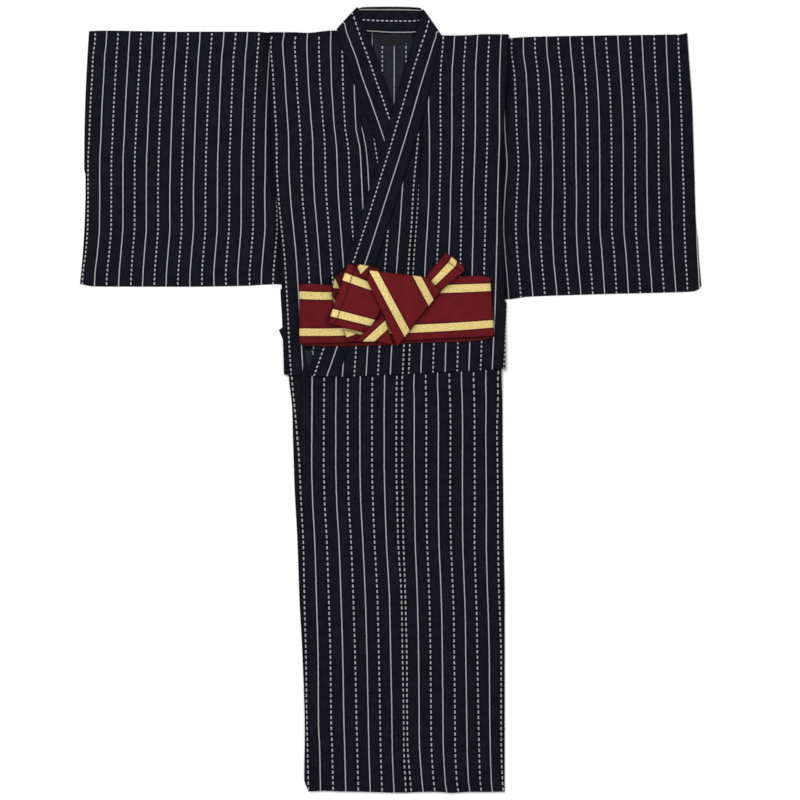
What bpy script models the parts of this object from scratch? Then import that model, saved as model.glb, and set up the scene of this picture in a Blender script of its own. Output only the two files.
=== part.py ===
"""A pinstriped kimono laid flat, front up, with its tied obi lying on the waist.

Frame: x to the wearer's left, y towards the neck, z up from the surface that the garment lies on.
The origin is the middle of the garment's outline, on that surface. Lengths in the tables are in mm.
"""
import math

import bmesh
import bpy

MM = 0.001

# Walls and the room between them
CLOTH = 1.0 * MM
BAND = 1.6 * MM
OBI_CLOTH = 1.2 * MM
GAP = 0.4 * MM
SEAM = 0.3 * MM
STEP = CLOTH + GAP
ON_TOP = CLOTH / 2 + GAP + BAND / 2
SLEEVE_DEPTH = 1.6 * MM
OBI_STEP = OBI_CLOTH + GAP

# The garment's main sizes
SHOULDER_RIGHT = 697 * MM
SHOULDER_LEFT = 693 * MM
BACK_NECK = 699 * MM
NECK_CORNER = 8 * MM
SLEEVE_INSET = 12 * MM
ARMHOLE_FLAT = 15 * MM
ARMHOLE_SLOPE = 45 * MM
CUFF_OPENS_AT = 431 * MM
TUCK_TOP = 93 * MM
TUCK_EDGE = 46 * MM
TUCK_RAMP_TOP = 160 * MM
TUCK_COVER = 97 * MM
ARMPIT_RIGHT = 205 * MM
ARMPIT_LEFT = 180 * MM
OBI_TILT = 0.0474
OBI_TOP_Y = 232 * MM

BEND = (45, 90, 135)

# The skirt's sizes from the hem up: y, right edge, right overlap seam, centre back, left overlap seam,
# left edge, front edge of the right overlap, front edge of the left overlap
SKIRT = (
    (-745.2, -156, 25, 29, 34, 217, 200, -154),
    (-722, -164, 24, 29, 33, 217, 200, -162),
    (-638, -164, 23, 28, 28, 217, 200, -163),
    (-496, -168, 21, 25, 26, 217, 200, -166),
    (-382, -173, 19, 22, 24, 217, 200, -170),
    (-268, -178, 17, 18, 19, 215, 198, -175),
    (-169, -182, 15, 16, 17, 214, 197, -179),
    (-78, -184, 12, 14, 16, 214, 197, -180),
    (-17, -187, 8, 11, 16, 213, 196, -170),
    (38, -193, 2, 8, 17, 211, 194, -168),
    (93, -196, -5, 7, 22, 214, 190, -163),
)
# The same columns for the bodice, from the tuck's edge to the shoulder
BODICE = (
    (46, -200.5, -12, 7, 28, 219.5, 168, -159),
    (97, -202.5, -16, 7, 29.5, 219.5, 152, -142),
    (160, -205, -25, 7, 34, 221, 131, -122),
    (180, -206, -27.5, 7, 35, 221, 124, -115),
    (205, -207, -30, 7, 37, 220, 116, -107),
    (283, -211, -39, 7, 41, 217, 91, -82),
    (350, -216, -43, 7, 45, 215, 69, -60),
    (416, -224, -47.5, 7, 49, 214, 47, -38),
    (492, -228, -53.5, 7, 56, 216, 18, -9),
    (568, -230, -59, 7, 63, 221, -28, 33),
    (610, -231, -62.5, 7, 66.5, 224, -60.5, 64.5),
    (650, -232, -76, 7, 72.5, 226, 0, 0),
    (690, -233.5, -94, 7, 79, 227, 0, 0),
)
Y, RIGHT_EDGE, RIGHT_SEAM, CENTRE, LEFT_SEAM, LEFT_EDGE, RIGHT_FRONT, LEFT_FRONT = range(8)
OVERLAP_TIP = 610 * MM

# The collar's arms: y and x of the inner edge, y and x of the outer edge
RIGHT_ARM = (
    (125, 146, 125, 91.5),
    (160, 135, 160, 80),
    (205, 120, 205, 64.5),
    (283, 95, 283, 38),
    (350, 73, 350, 16),
    (416, 51, 416, -7),
    (492, 26.5, 492, -30.5),
    (568, 2, 568, -58),
    (610, -12.5, 610, -73.5),
    (650, -26.5, 650, -87),
    (682, -39, 671, -95),
    (710, -49.5, 688, -100.5),
)
RIGHT_ARM_FOLD = (743, -62.5, 700.5, -101.5)
LEFT_ARM = (
    (46, -162.5, 46, -97),
    (97, -146, 97, -80),
    (160, -125.5, 160, -58.5),
    (205, -110.5, 205, -43),
    (283, -85, 283, -16.5),
    (350, -63.5, 350, 5),
    (416, -42, 416, 25.5),
    (492, -17, 492, 49.5),
    (568, 8, 568, 73),
    (610, 22, 610, 81),
    (650, 35, 644, 86.5),
    (672, 43, 665, 90),
    (693, 52, 682, 92.5),
)
LEFT_ARM_FOLD = (737, 63.5, 697, 92)
# The band behind the neck, between the two folds: x and y of its top edge, x and y of its lower edge
NECK_BAND = (
    (-53, 744.4, -80, 700.5),
    (-30, 745, -30, 696),
    (7, 745.2, 7, 694),
    (36, 744.6, 36, 694),
    (54, 742.5, 70, 699.8),
)

# The sleeves: the distance from the armhole to the cuff as a share, y of the top fold, y of the bottom fold
RIGHT_SLEEVE = (
    (0.0, 693, 218),
    (0.05, 696, 217),
    (0.13, 697, 216),
    (0.5, 697.5, 214.5),
    (0.93, 700, 215),
    (1.0, 698, 219),
)
LEFT_SLEEVE = (
    (0.0, 684, 190),
    (0.05, 686, 191),
    (0.13, 689, 196),
    (0.5, 692, 201),
    (0.93, 693.5, 205),
    (1.0, 691, 214),
)
# The cuff edges: y, x of the right one, x of the left one
CUFFS = (
    (215, -589.5, 588.5),
    (274, -585.5, 584),
    (370, -580.5, 578.5),
    (445, -582, 576.5),
    (558, -580.5, 573),
    (644, -577, 567),
    (701, -573, 563.5),
)
SLEEVE_ROWS = (0.0, 0.07, 0.24, 0.45, 0.63, 0.82, 0.95, 1.0)

# The obi's flattened loop: share of its length, y of the top edge, y of the lower edge
OBI_LOOP = (
    (0.0, 217, 103.5),
    (0.18, 213, 102),
    (0.55, 224, 107),
    (0.80, 224, 112),
    (0.86, 232, 114),
    (1.0, 231.5, 120),
)
OBI_LEFT_END = (-173.5, -173)
OBI_RIGHT_END = (189.5, 197.5)
OBI_BACK_DROP = 5 * MM

# The stretches of the tied obi: the crown across, then rows of x, y and level over the loop of one edge,
# and the same of the other edge
KNOT = {
    "obi_knot_behind": (0, (
        (-75, 255.5, 1, -58, 249, 1),
        (-107, 228, 1, -77, 216.5, 1),
        (-111, 205, 1, -85, 196, 1),
        (-106, 177, 1, -92, 173, 1),
    )),
    "obi_knot_corner": (0, (
        (-89, 131, 1, -84, 118, 1),
        (-77, 128, 1, -77, 107.5, 1),
        (-58, 121.5, 1, -64, 110, 1),
    )),
    "obi_end_short": (0, (
        (105.5, 278.5, 1, 138.5, 252, 1),
        (97, 269, 1, 140.5, 242.5, 1),
        (67, 231.5, 1, 98, 208, 1),
        (48, 209, 1, 81, 188, 1),
    )),
    "obi_end_long": (0, (
        (-67.5, 257.5, 2, -10.5, 234, 2),
        (-94, 199.5, 2, -14, 177, 2),
        (-118.5, 143.5, 2, -43, 124.5, 2),
    )),
    "obi_knot_turn": (0, (
        (-65.5, 256.5, 3, -57, 236.5, 3),
        (-43, 253, 3, -46.5, 227, 3),
        (-20, 247, 3, -35, 220.5, 3),
    )),
    "obi_knot_under": (0, (
        (-73, 111, 2.4, -70.5, 107.5, 2.4),
        (-44.5, 135, 3, -27.5, 106.5, 2.8),
        (-16, 159.5, 3, 8.5, 105.5, 1),
    )),
    "obi_knot_wrap": (1.6, (
        (-39, 244, 4, 70, 231, 2),
        (-44.5, 226, 4, 90, 207.5, 2),
        (-12.5, 157.5, 4, 54, 157.5, 1.7),
        (10.5, 107.5, 2, 17, 107.5, 1),
    )),
}
KNOT_ACROSS = 4

# The bare label under the neck band: x of its two ends, y of its top, its depth at the ends and in the middle
LABEL_ENDS = (-34, 40)
LABEL_TOP = 692.5
LABEL_DEPTH = (15, 21)


def level(number):
    """The middle height of a layer, counted from the one on the surface."""
    return CLOTH / 2 + number * STEP


def between(a, b, share):
    return a + (b - a) * share


def read(table, key, column, key_column=0):
    """The value of a column at a key, in a straight line between the table's rows."""
    rows = sorted(table, key=lambda row: row[key_column])
    key = min(max(key, rows[0][key_column]), rows[-1][key_column])
    for low, high in zip(rows, rows[1:]):
        if key <= high[key_column]:
            share = (key - low[key_column]) / (high[key_column] - low[key_column])
            return between(low[column], high[column], share)
    return rows[-1][column]


def tuck_slant(x):
    """How much higher than its right end the tuck's edge is at x: it dips, then climbs to the left."""
    low, dip, high = -200 * MM, -86 * MM, 220 * MM
    if x < dip:
        return between(0, -4 * MM, max(0, (x - low) / (dip - low)))
    return between(-4 * MM, 11 * MM, min(1, (x - dip) / (high - dip)))


RIGHT_BODICE = level(1)
LEFT_BODICE = RIGHT_BODICE + 2 * ON_TOP
OVER_SLEEVE = level(1) + SLEEVE_DEPTH + STEP
RIGHT_SHOULDER_RISE = 1.1 * MM


def turned_rows(y, direction, sizes, heights, widest):
    """The half turn of all three layers about a fold of the tuck, between its two straight stretches."""
    rows = []
    for angle in BEND:
        turn = math.radians(angle)
        rise = STEP / 2 * (1 - math.cos(turn))
        reach = direction * STEP / 2 * math.sin(turn)
        back, right, left = heights
        rows.append((y + reach, 1, sizes, (back - rise, right + rise, left + rise), widest))
    return rows


def cloth_path():
    """The front's way from the hem up through the tuck to the shoulder.

    Each row is y, its share of the tuck's slant, its table's row, the middle heights of the back, the right
    front and the left front, and the heights that the round of the side is set from. At the two folds of
    the tuck the cloth turns half a circle.
    """
    flat = (level(0), level(1), level(2))
    under = (level(2), level(3), level(6))
    middle = (level(1), level(4), level(7))
    over = (level(0), level(5), level(8))
    bodice = (level(0), RIGHT_BODICE, LEFT_BODICE)
    shoulder = (level(0), RIGHT_BODICE + RIGHT_SHOULDER_RISE, LEFT_BODICE)

    rows = [(sizes[Y] * MM, 0, sizes, flat, flat) for sizes in SKIRT[:-2]]
    rows.append((SKIRT[-2][Y] * MM, 1, SKIRT[-2], under, under))
    top, edge = SKIRT[-1], BODICE[0]
    rows.append((TUCK_TOP, 1, top, under, middle))
    rows += turned_rows(TUCK_TOP, 1, top, under, middle)
    rows.append((TUCK_TOP, 1, top, middle, middle))
    fold = TUCK_EDGE + STEP / 2 + CLOTH / 2
    rows.append((fold, 1, edge, middle, over))
    rows += turned_rows(fold, -1, edge, middle, over)
    rows.append((fold, 1, edge, over, over))
    rows.append((TUCK_COVER, 1, BODICE[1], over, over))
    rows += [(sizes[Y] * MM, 0, sizes, bodice, bodice) for sizes in BODICE[2:-1]]
    rows.append((BODICE[-1][Y] * MM, 0, BODICE[-1], shoulder, shoulder))
    return rows


def left_front_height(x, y):
    """The middle height of the left front over the bodice, which climbs onto the tuck."""
    foot = TUCK_COVER + tuck_slant(x)
    share = min(1, max(0, (TUCK_RAMP_TOP - y) / (TUCK_RAMP_TOP - foot)))
    return between(LEFT_BODICE, level(8), share)


def right_front_height(x, y):
    foot = TUCK_COVER + tuck_slant(x)
    share = min(1, max(0, (TUCK_RAMP_TOP - y) / (TUCK_RAMP_TOP - foot)))
    rise = max(0, (y - BODICE[-2][Y] * MM) / ((BODICE[-1][Y] - BODICE[-2][Y]) * MM))
    return between(RIGHT_BODICE, level(5), share) + RIGHT_SHOULDER_RISE * min(1, rise)


def obi_height(y):
    """The middle height of the loop's back half: a stiff band, leaning on the tuck and on the collar."""
    resting = LEFT_BODICE + ON_TOP + BAND / 2 + GAP + OBI_CLOTH / 2
    return resting + (OBI_TOP_Y - y) * OBI_TILT


def material(name, colour, roughness):
    made = bpy.data.materials.new(name)
    made.use_nodes = True
    shader = made.node_tree.nodes["Principled BSDF"]
    shader.inputs["Base Color"].default_value = (*colour, 1)
    shader.inputs["Roughness"].default_value = roughness
    shader.inputs["Metallic"].default_value = 0
    return made


def wall(name, rows, thickness, finish, skip=None):
    """A closed wall on an open grid through rows of points; rows or columns that meet are joined."""
    across = len(rows[0])
    cage = bmesh.new()
    bmesh.ops.create_grid(cage, x_segments=across - 1, y_segments=len(rows) - 1, size=1)
    cage.verts.ensure_lookup_table()
    for r, row in enumerate(rows):
        for c, point in enumerate(row):
            cage.verts[r * across + c].co = point
    if skip:
        gone = []
        for face in cage.faces:
            corners = [divmod(vert.index, across) for vert in face.verts]
            if skip(min(r for r, c in corners), min(c for r, c in corners)):
                gone.append(face)
        bmesh.ops.delete(cage, geom=gone, context="FACES")
    bmesh.ops.remove_doubles(cage, verts=cage.verts, dist=0.01 * MM)
    bmesh.ops.recalc_face_normals(cage, faces=cage.faces)
    mesh = bpy.data.meshes.new(name)
    cage.to_mesh(mesh)
    cage.free()
    piece = bpy.data.objects.new(name, mesh)
    garment.objects.link(piece)
    piece.data.materials.append(finish)
    solid = piece.modifiers.new("wall", "SOLIDIFY")
    solid.thickness = thickness
    solid.offset = 0
    solid.use_even_offset = False
    solid.use_quality_normals = True
    return piece


def body_half(name, side, finish):
    """One length of cloth: the front with its tuck, over the shoulder, and the back, closed down the side."""
    right = side < 0
    edge_column, seam_column = (RIGHT_EDGE, RIGHT_SEAM) if right else (LEFT_EDGE, LEFT_SEAM)
    shoulder = SHOULDER_RIGHT if right else SHOULDER_LEFT
    armpit = ARMPIT_RIGHT if right else ARMPIT_LEFT
    layer = 1 if right else 2
    neck_x = BODICE[-1][seam_column] * MM
    joined_points = 5
    rows = []

    def add(y, slant, sizes, heights, widest, turn=None):
        """A row across the front, round the side and across the back; turn is the shoulder's angle."""
        back, front = heights[0], heights[layer]
        front_side = max(front, OVER_SLEEVE) if y >= armpit else front
        radius = (front_side - back) / 2
        wide_radius = radius if heights is widest else (widest[layer] - widest[0]) / 2
        hinge = sizes[edge_column] * MM - side * (wide_radius + CLOTH / 2)
        seam = sizes[seam_column] * MM + side * SEAM / 2
        middle = sizes[CENTRE] * MM + side * SEAM / 2
        inset, slope = hinge - side * ARMHOLE_FLAT, hinge - side * ARMHOLE_SLOPE
        corner = neck_x - side * NECK_CORNER

        def place(x, z):
            return (x, y + slant * tuck_slant(x), z)

        def over_shoulder(x, z, from_front):
            """A point of the half turn that joins the front, at height z, to the back."""
            reach = (z - back) / 2
            y_turned = shoulder - CLOTH / 2 - reach * (1 - math.sin(turn))
            turned = reach * (1 - math.cos(turn))
            return (x, y_turned, z - turned if from_front else back + turned)

        front_line = (
            (seam, front),
            (between(slope, seam, 0.5), front),
            (slope, front),
            (inset, front_side),
            (hinge, front_side),
        )
        back_line = (
            (hinge, front_side),
            (inset, front_side),
            (slope, front),
            (between(slope, neck_x, 0.5), front),
            (neck_x, front),
            (corner, back),
            (middle, back),
        )
        row = []
        for x, z in front_line:
            row.append(place(x, z) if turn is None else over_shoulder(x, z, True))
        for angle in BEND:
            round_side = math.radians(angle)
            x = hinge + side * radius * math.sin(round_side)
            row.append(place(x, back + radius + radius * math.cos(round_side)))
        for number, (x, z) in enumerate(back_line):
            if turn is None:
                row.append(place(x, back))
            elif number < joined_points:
                row.append(over_shoulder(x, z, False))
            else:
                row.append((x, between(y, BACK_NECK, math.sin(turn)), back))
        rows.append(row)

    path = cloth_path()
    for sizes in path:
        add(*sizes)
    for angle in (45, 90):
        add(*path[-1], math.radians(angle))
    armhole_starts = next(number for number, sizes in enumerate(path) if sizes[0] >= armpit)
    first_bend = 4
    last_bend = first_bend + len(BEND)

    def armhole(row, column):
        return row >= armhole_starts and first_bend <= column <= last_bend

    return wall(name, rows, CLOTH, finish, skip=armhole)


def overlap(name, side, finish):
    """The long front panel between the body's front and the front edge, with the same tuck."""
    right = side < 0
    seam_column, front_column = (RIGHT_SEAM, RIGHT_FRONT) if right else (LEFT_SEAM, LEFT_FRONT)
    rows = []
    for y, slant, sizes, heights, _ in cloth_path():
        if y > OVERLAP_TIP:
            break
        seam = sizes[seam_column] * MM - side * SEAM / 2
        front = sizes[front_column] * MM
        row = []
        for share in (0, 0.5, 1):
            x = between(seam, front, share)
            row.append((x, y + slant * tuck_slant(x), heights[1 if right else 2]))
        rows.append(row)
    return wall(name, rows, CLOTH, finish)


def sleeve(name, side, finish):
    """A flattened tube from the armhole to the cuff, open at the wrist and closed below it."""
    right = side < 0
    table = RIGHT_SLEEVE if right else LEFT_SLEEVE
    edge_column, cuff_column = (RIGHT_EDGE, 1) if right else (LEFT_EDGE, 2)
    radius = SLEEVE_DEPTH / 2
    shares = [row[0] for row in table]
    rows = []
    for number, share in enumerate(shares + [1.0, 1.0]):
        turn = math.radians((0, 45, 90)[max(0, number - len(shares) + 1)])
        top = read(table, share, 1) * MM - radius - CLOTH / 2
        bottom = read(table, share, 2) * MM + radius + CLOTH / 2
        base = level(1) if number < 2 else level(0)

        def point(height, z_share, sink=0.0):
            """A point at a share of the drop; z_share 0 is the back layer, 1 the front layer."""
            y = between(bottom, top, height)
            armhole = read(BODICE, y / MM, edge_column) * MM
            cuff = read(CUFFS, y / MM, cuff_column) * MM - side * (radius + CLOTH / 2)
            start = armhole - side * SLEEVE_INSET
            x = between(start, cuff, share) + side * radius * math.sin(turn)
            closed = y <= CUFF_OPENS_AT
            if closed:
                z_share = 0.5 + (z_share - 0.5) * math.cos(turn)
            reach = sink * (math.cos(turn) if closed else 1)
            return (x, y + reach, base + SLEEVE_DEPTH * z_share)

        row = []
        for angle in (90, 45):
            bend = math.radians(angle)
            row.append(point(1, 0.5 + 0.5 * math.cos(bend), radius * math.sin(bend)))
        for height in reversed(SLEEVE_ROWS):
            row.append(point(height, 1))
        for angle in BEND:
            bend = math.radians(angle)
            row.append(point(0, 0.5 + 0.5 * math.cos(bend), -radius * math.sin(bend)))
        for height in SLEEVE_ROWS:
            row.append(point(height, 0))
        for angle in (45, 90):
            bend = math.radians(angle)
            row.append(point(1, 0.5 - 0.5 * math.cos(bend), radius * math.sin(bend)))
        rows.append(row)
    return wall(name, rows, CLOTH, finish)


def collar(name, finish):
    """One band: up the right front, folded over beside the neck, round the back, and down the left front."""
    across = (0, 0.5, 1)

    def arm_row(sizes, height):
        inner = (sizes[1] * MM, sizes[0] * MM)
        outer = (sizes[3] * MM, sizes[2] * MM)
        row = []
        for share in across:
            x, y = between(inner[0], outer[0], share), between(inner[1], outer[1], share)
            y += tuck_slant(x) * min(1, max(0, (TUCK_RAMP_TOP - y) / (TUCK_RAMP_TOP - TUCK_COVER)))
            row.append((x, y, height(x, y) + ON_TOP))
        return row

    back_height = level(0) + ON_TOP

    def fold_rows(sizes, front_height, angles):
        """The half turn from the back band up to the arm, about the line of the fold."""
        inner, outer = (sizes[1] * MM, sizes[0] * MM), (sizes[3] * MM, sizes[2] * MM)
        along = math.hypot(inner[0] - outer[0], inner[1] - outer[1])
        outward = (-(inner[1] - outer[1]) / along, (inner[0] - outer[0]) / along)
        if outward[1] < 0:
            outward = (-outward[0], -outward[1])
        radius = (front_height - back_height) / 2
        turned = []
        for angle in angles:
            bend = math.radians(angle)
            push = radius * (math.sin(bend) - 1) - BAND / 2
            z = back_height + radius - radius * math.cos(bend)
            row = []
            for share in across:
                x, y = between(inner[0], outer[0], share), between(inner[1], outer[1], share)
                row.append((x + outward[0] * push, y + outward[1] * push, z))
            turned.append(row)
        return turned

    right_top = RIGHT_BODICE + RIGHT_SHOULDER_RISE + ON_TOP
    left_top = LEFT_BODICE + ON_TOP
    rows = [arm_row(sizes, right_front_height) for sizes in RIGHT_ARM]
    rows += fold_rows(RIGHT_ARM_FOLD, right_top, (180, 135, 90, 45, 0))
    for sizes in NECK_BAND:
        top, lower = (sizes[0] * MM, sizes[1] * MM), (sizes[2] * MM, sizes[3] * MM)
        row = []
        for share in across:
            row.append((between(top[0], lower[0], share), between(top[1], lower[1], share), back_height))
        rows.append(row)
    rows += fold_rows(LEFT_ARM_FOLD, left_top, (0, 45, 90, 135, 180))
    rows += [arm_row(sizes, left_front_height) for sizes in reversed(LEFT_ARM)]
    return wall(name, rows, BAND, finish)


def neck_label(name, finish):
    """A bare label with a curved lower edge, lying on the inside of the back."""
    height = level(1)
    rows = []
    for number in range(7):
        share = number / 6
        x = between(LABEL_ENDS[0], LABEL_ENDS[1], share) * MM
        depth = between(LABEL_DEPTH[0], LABEL_DEPTH[1], math.sin(math.pi * share)) * MM
        rows.append([(x, LABEL_TOP * MM, height), (x, LABEL_TOP * MM - depth, height)])
    return wall(name, rows, CLOTH, finish)


def obi_loop(name, finish):
    """The wound band as a flattened loop: the front half, and the back half a little lower on the body."""
    radius = OBI_STEP / 2
    reach = radius + OBI_CLOTH / 2

    def point(share, down, front, angle=None):
        top, bottom = read(OBI_LOOP, share, 1) * MM, read(OBI_LOOP, share, 2) * MM
        y = between(top, bottom, down)
        left = between(*OBI_LEFT_END, down) * MM + reach
        right = between(*OBI_RIGHT_END, down) * MM - reach
        x = between(left, right, share)
        z_share = front
        if angle is not None:
            bend = math.radians(angle)
            x += (1 if share > 0.5 else -1) * radius * math.sin(bend)
            z_share = 0.5 + 0.5 * math.cos(bend)
        y -= OBI_BACK_DROP * (1 - z_share) * down
        return (x, y, obi_height(y) + OBI_STEP * z_share)

    rows = []
    for down in (0, 0.5, 1):
        row = [point(0, down, 0.5, 90), point(0, down, 0.5, 45)]
        row += [point(entry[0], down, 1) for entry in OBI_LOOP]
        row += [point(1, down, 0.5, angle) for angle in BEND]
        row += [point(entry[0], down, 0) for entry in reversed(OBI_LOOP)]
        row += [point(0, down, 0.5, 135), point(0, down, 0.5, 90)]
        rows.append(row)
    return wall(name, rows, OBI_CLOTH, finish)


def knot_piece(name, finish):
    """One stretch of the tied band, ruled between its two edges and crowned across."""
    crown, lines = KNOT[name]
    rows = []
    for x1, y1, level1, x2, y2, level2 in lines:
        row = []
        for step in range(KNOT_ACROSS + 1):
            share = step / KNOT_ACROSS
            x, y = between(x1, x2, share) * MM, between(y1, y2, share) * MM
            arch = crown * MM * (1 - (2 * share - 1) ** 2)
            over_loop = OBI_STEP * (1 + between(level1, level2, share))
            row.append((x, y, obi_height(y) + over_loop + arch))
        rows.append(row)
    return wall(name, rows, OBI_CLOTH, finish)


for old in list(bpy.data.objects):
    bpy.data.objects.remove(old)

garment = bpy.data.collections.new("kimono")
bpy.context.scene.collection.children.link(garment)

navy = material("navy pinstripe cloth", (0.011, 0.012, 0.022), 0.85)
navy_band = material("navy collar cloth", (0.010, 0.011, 0.020), 0.82)
black = material("black label satin", (0.012, 0.012, 0.010), 0.55)
crimson = material("crimson obi cloth", (0.13, 0.010, 0.016), 0.7)

body_half("body_right", -1, navy)
body_half("body_left", 1, navy)
overlap("overlap_right", -1, navy)
overlap("overlap_left", 1, navy)
sleeve("sleeve_right", -1, navy)
sleeve("sleeve_left", 1, navy)
collar("collar", navy_band)
neck_label("neck_label", black)
obi_loop("obi_loop", crimson)
for stretch in KNOT:
    knot_piece(stretch, crimson)
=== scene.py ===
"""A pinstriped kimono laid flat, front up, with its tied crimson obi on the waist.

x runs to the wearer's left, y towards the neck and z up. Lengths are in metres, and in mm in the tables.
"""
import math
from bisect import bisect_right
from collections import namedtuple

import bmesh
import bpy
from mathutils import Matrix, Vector


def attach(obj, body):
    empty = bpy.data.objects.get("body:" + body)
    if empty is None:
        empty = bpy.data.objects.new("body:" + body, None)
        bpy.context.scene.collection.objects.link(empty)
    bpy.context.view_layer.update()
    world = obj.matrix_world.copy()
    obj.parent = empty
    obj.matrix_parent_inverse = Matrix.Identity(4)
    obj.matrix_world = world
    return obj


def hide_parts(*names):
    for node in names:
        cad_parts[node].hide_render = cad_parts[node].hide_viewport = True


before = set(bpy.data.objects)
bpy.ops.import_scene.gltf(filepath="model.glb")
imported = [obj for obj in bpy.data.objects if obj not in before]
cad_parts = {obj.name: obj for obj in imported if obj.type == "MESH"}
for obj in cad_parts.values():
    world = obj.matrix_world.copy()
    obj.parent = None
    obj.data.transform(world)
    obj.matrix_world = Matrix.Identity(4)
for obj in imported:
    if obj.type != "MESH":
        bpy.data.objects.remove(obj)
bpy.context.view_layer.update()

MM = 0.001
ROOT = "root"

# Walls, and the room between the layers, as in the fixed frame
CLOTH = 1.0 * MM
BAND = 1.6 * MM
OBI_CLOTH = 1.2 * MM
GAP = 0.4 * MM
SEAM = 0.3 * MM
STEP = CLOTH + GAP
ON_TOP = CLOTH / 2 + GAP + BAND / 2
SLEEVE_DEPTH = 1.6 * MM
OBI_STEP = OBI_CLOTH + GAP
SHELL = 0.7 * MM
OBI_SHELL = 1.0 * MM
# The dip of the cloth beside a front seam, and how far creases stay away from it
SEAM_DEPTH = 0.35 * MM
SEAM_REACH = 4 * MM
CREASE_CLEAR = 14 * MM

# The garment's main sizes
SHOULDER_RIGHT = 697 * MM
SHOULDER_LEFT = 693 * MM
BACK_NECK = 699 * MM
NECK_CORNER = 8 * MM
SLEEVE_INSET = 12 * MM
ARMHOLE_FLAT = 15 * MM
ARMHOLE_SLOPE = 45 * MM
CUFF_OPENS_AT = 431 * MM
TUCK_TOP = 93 * MM
TUCK_EDGE = 46 * MM
TUCK_RAMP_TOP = 160 * MM
TUCK_COVER = 97 * MM
SKIRT_LIES_FLAT = -17 * MM
SKIRT_UNDER_TUCK = 38 * MM
ARMPIT_RIGHT = 205 * MM
ARMPIT_LEFT = 180 * MM
OVERLAP_TIP = 610 * MM
OBI_TILT = 0.0474
OBI_TOP_Y = 232 * MM

# The woven pattern: the way from one stripe to the next, and the length of a dash with its gap
STRIPE_PITCH = 22.9 * MM
BACK_PITCH = 22.4 * MM
DASH_SLEEVE = 8.6 * MM
DASH_BODICE = 8.75 * MM
DASH_SKIRT = 10.4 * MM
DASH_COLLAR = 8.7 * MM

# The skirt's sizes from the hem up: y, right edge, right overlap seam, centre back, left overlap seam,
# left edge, front edge of the right overlap, front edge of the left overlap
SKIRT = (
    (-745.2, -156, 25, 29, 34, 217, 200, -154),
    (-722, -164, 24, 29, 33, 217, 200, -162),
    (-638, -163, 23, 28, 28, 217, 200, -162),
    (-496, -167, 21, 25, 26, 217, 200, -165),
    (-382, -173, 19, 22, 24, 217, 200, -170),
    (-268, -177, 17, 18, 19, 215, 198, -174),
    (-169, -182.3, 15, 16, 17, 214, 197, -179),
    (-78, -185.3, 12, 14, 16, 213, 196, -180),
    (-17, -187, 8, 11, 16, 213, 196, -170),
    (38, -193, 2, 8, 17, 211, 194, -168),
    (93, -196, -5, 7, 22, 214, 190, -163),
)
# The same columns for the bodice, from the tuck's edge to the shoulder
BODICE = (
    (46, -202.5, -12, 7, 28, 218.5, 168, -154),
    (97, -204, -16, 7, 29.5, 218.5, 152, -136),
    (160, -206.7, -25, 7, 34, 220, 131, -114),
    (180, -208, -27.5, 7, 35, 220.5, 124, -107.5),
    (205, -209.3, -30, 7, 37, 220, 116, -98),
    (283, -211, -39, 7, 41, 217, 91, -71),
    (350, -216, -43, 7, 47.3, 215, 69, -49),
    (416, -224, -47.5, 7, 54, 214, 47, -28),
    (492, -228, -53.5, 7, 57.5, 216, 18, -4),
    (568, -230, -59, 7, 63.5, 221, -28, 33),
    (610, -231, -62.5, 7, 66.5, 224, -60.5, 64.5),
    (650, -232, -76, 7, 72.5, 226, 0, 0),
    (690, -233.5, -94, 7, 79, 227, 0, 0),
)
Y, RIGHT_EDGE, RIGHT_SEAM, CENTRE, LEFT_SEAM, LEFT_EDGE, RIGHT_FRONT, LEFT_FRONT = range(8)

# The collar's arms, up to the fold beside the neck: y and x of the inner edge, y and x of the outer edge, and
# where stripes 0 and 1 lie across the band, as shares of its width from the inner edge
RIGHT_ARM = (
    (125, 146, 125, 91.5, 0.27, 0.67),
    (160, 135, 160, 80, 0.27, 0.67),
    (205, 120, 205, 64.5, 0.27, 0.67),
    (283, 95, 283, 38, 0.27, 0.67),
    (350, 73, 350, 16, 0.27, 0.67),
    (416, 51, 416, -7, 0.27, 0.67),
    (492, 26.5, 492, -30.5, 0.27, 0.67),
    (568, 2, 568, -58, 0.27, 0.67),
    (610, -12.5, 610, -73.5, 0.275, 0.67),
    (650, -26.5, 650, -87, 0.272, 0.65),
    (682, -39, 671, -95, 0.268, 0.65),
    (710, -49.5, 688, -100.5, 0.262, 0.66),
)
RIGHT_ARM_FOLD = (743, -62.5, 700.5, -101.5, 0.26, 0.674)
LEFT_ARM = (
    (46, -159.8, 46, -98.9, 0.242, 0.639),
    (97, -141.9, 97, -81.1, 0.242, 0.639),
    (160, -120, 160, -59.5, 0.243, 0.637),
    (205, -104.5, 205, -44.2, 0.244, 0.636),
    (283, -77.5, 283, -17.5, 0.245, 0.633),
    (350, -55.7, 350, 4, 0.246, 0.631),
    (416, -34.8, 416, 25.1, 0.244, 0.632),
    (492, -10.8, 492, 48.8, 0.242, 0.634),
    (568, 8.5, 568, 71.5, 0.281, 0.649),
    (610, 21.1, 610, 80, 0.297, 0.688),
    (640, 30, 637, 86.5, 0.311, 0.715),
    (663, 37.5, 658, 91, 0.325, 0.738),
    (685, 44.5, 672, 93.2, 0.345, 0.765),
    (712, 52.5, 681, 94.5, 0.375, 0.80),
)
LEFT_ARM_FOLD = (739, 60.9, 689, 95.3, 0.408, 0.838)
NECK_FOLD_BULGE = 2.4 * MM
# The band behind the neck, between the two folds: x and y of its top edge, x and y of its lower edge
NECK_BAND = (
    (-53, 744.4, -80, 700.5),
    (-30, 745, -30, 696),
    (7, 745.2, 7, 694),
    (36, 744.6, 36, 694),
    (57, 743, 71, 699.8),
)
NECK_STRIPES = (0.53, 0.95)
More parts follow.
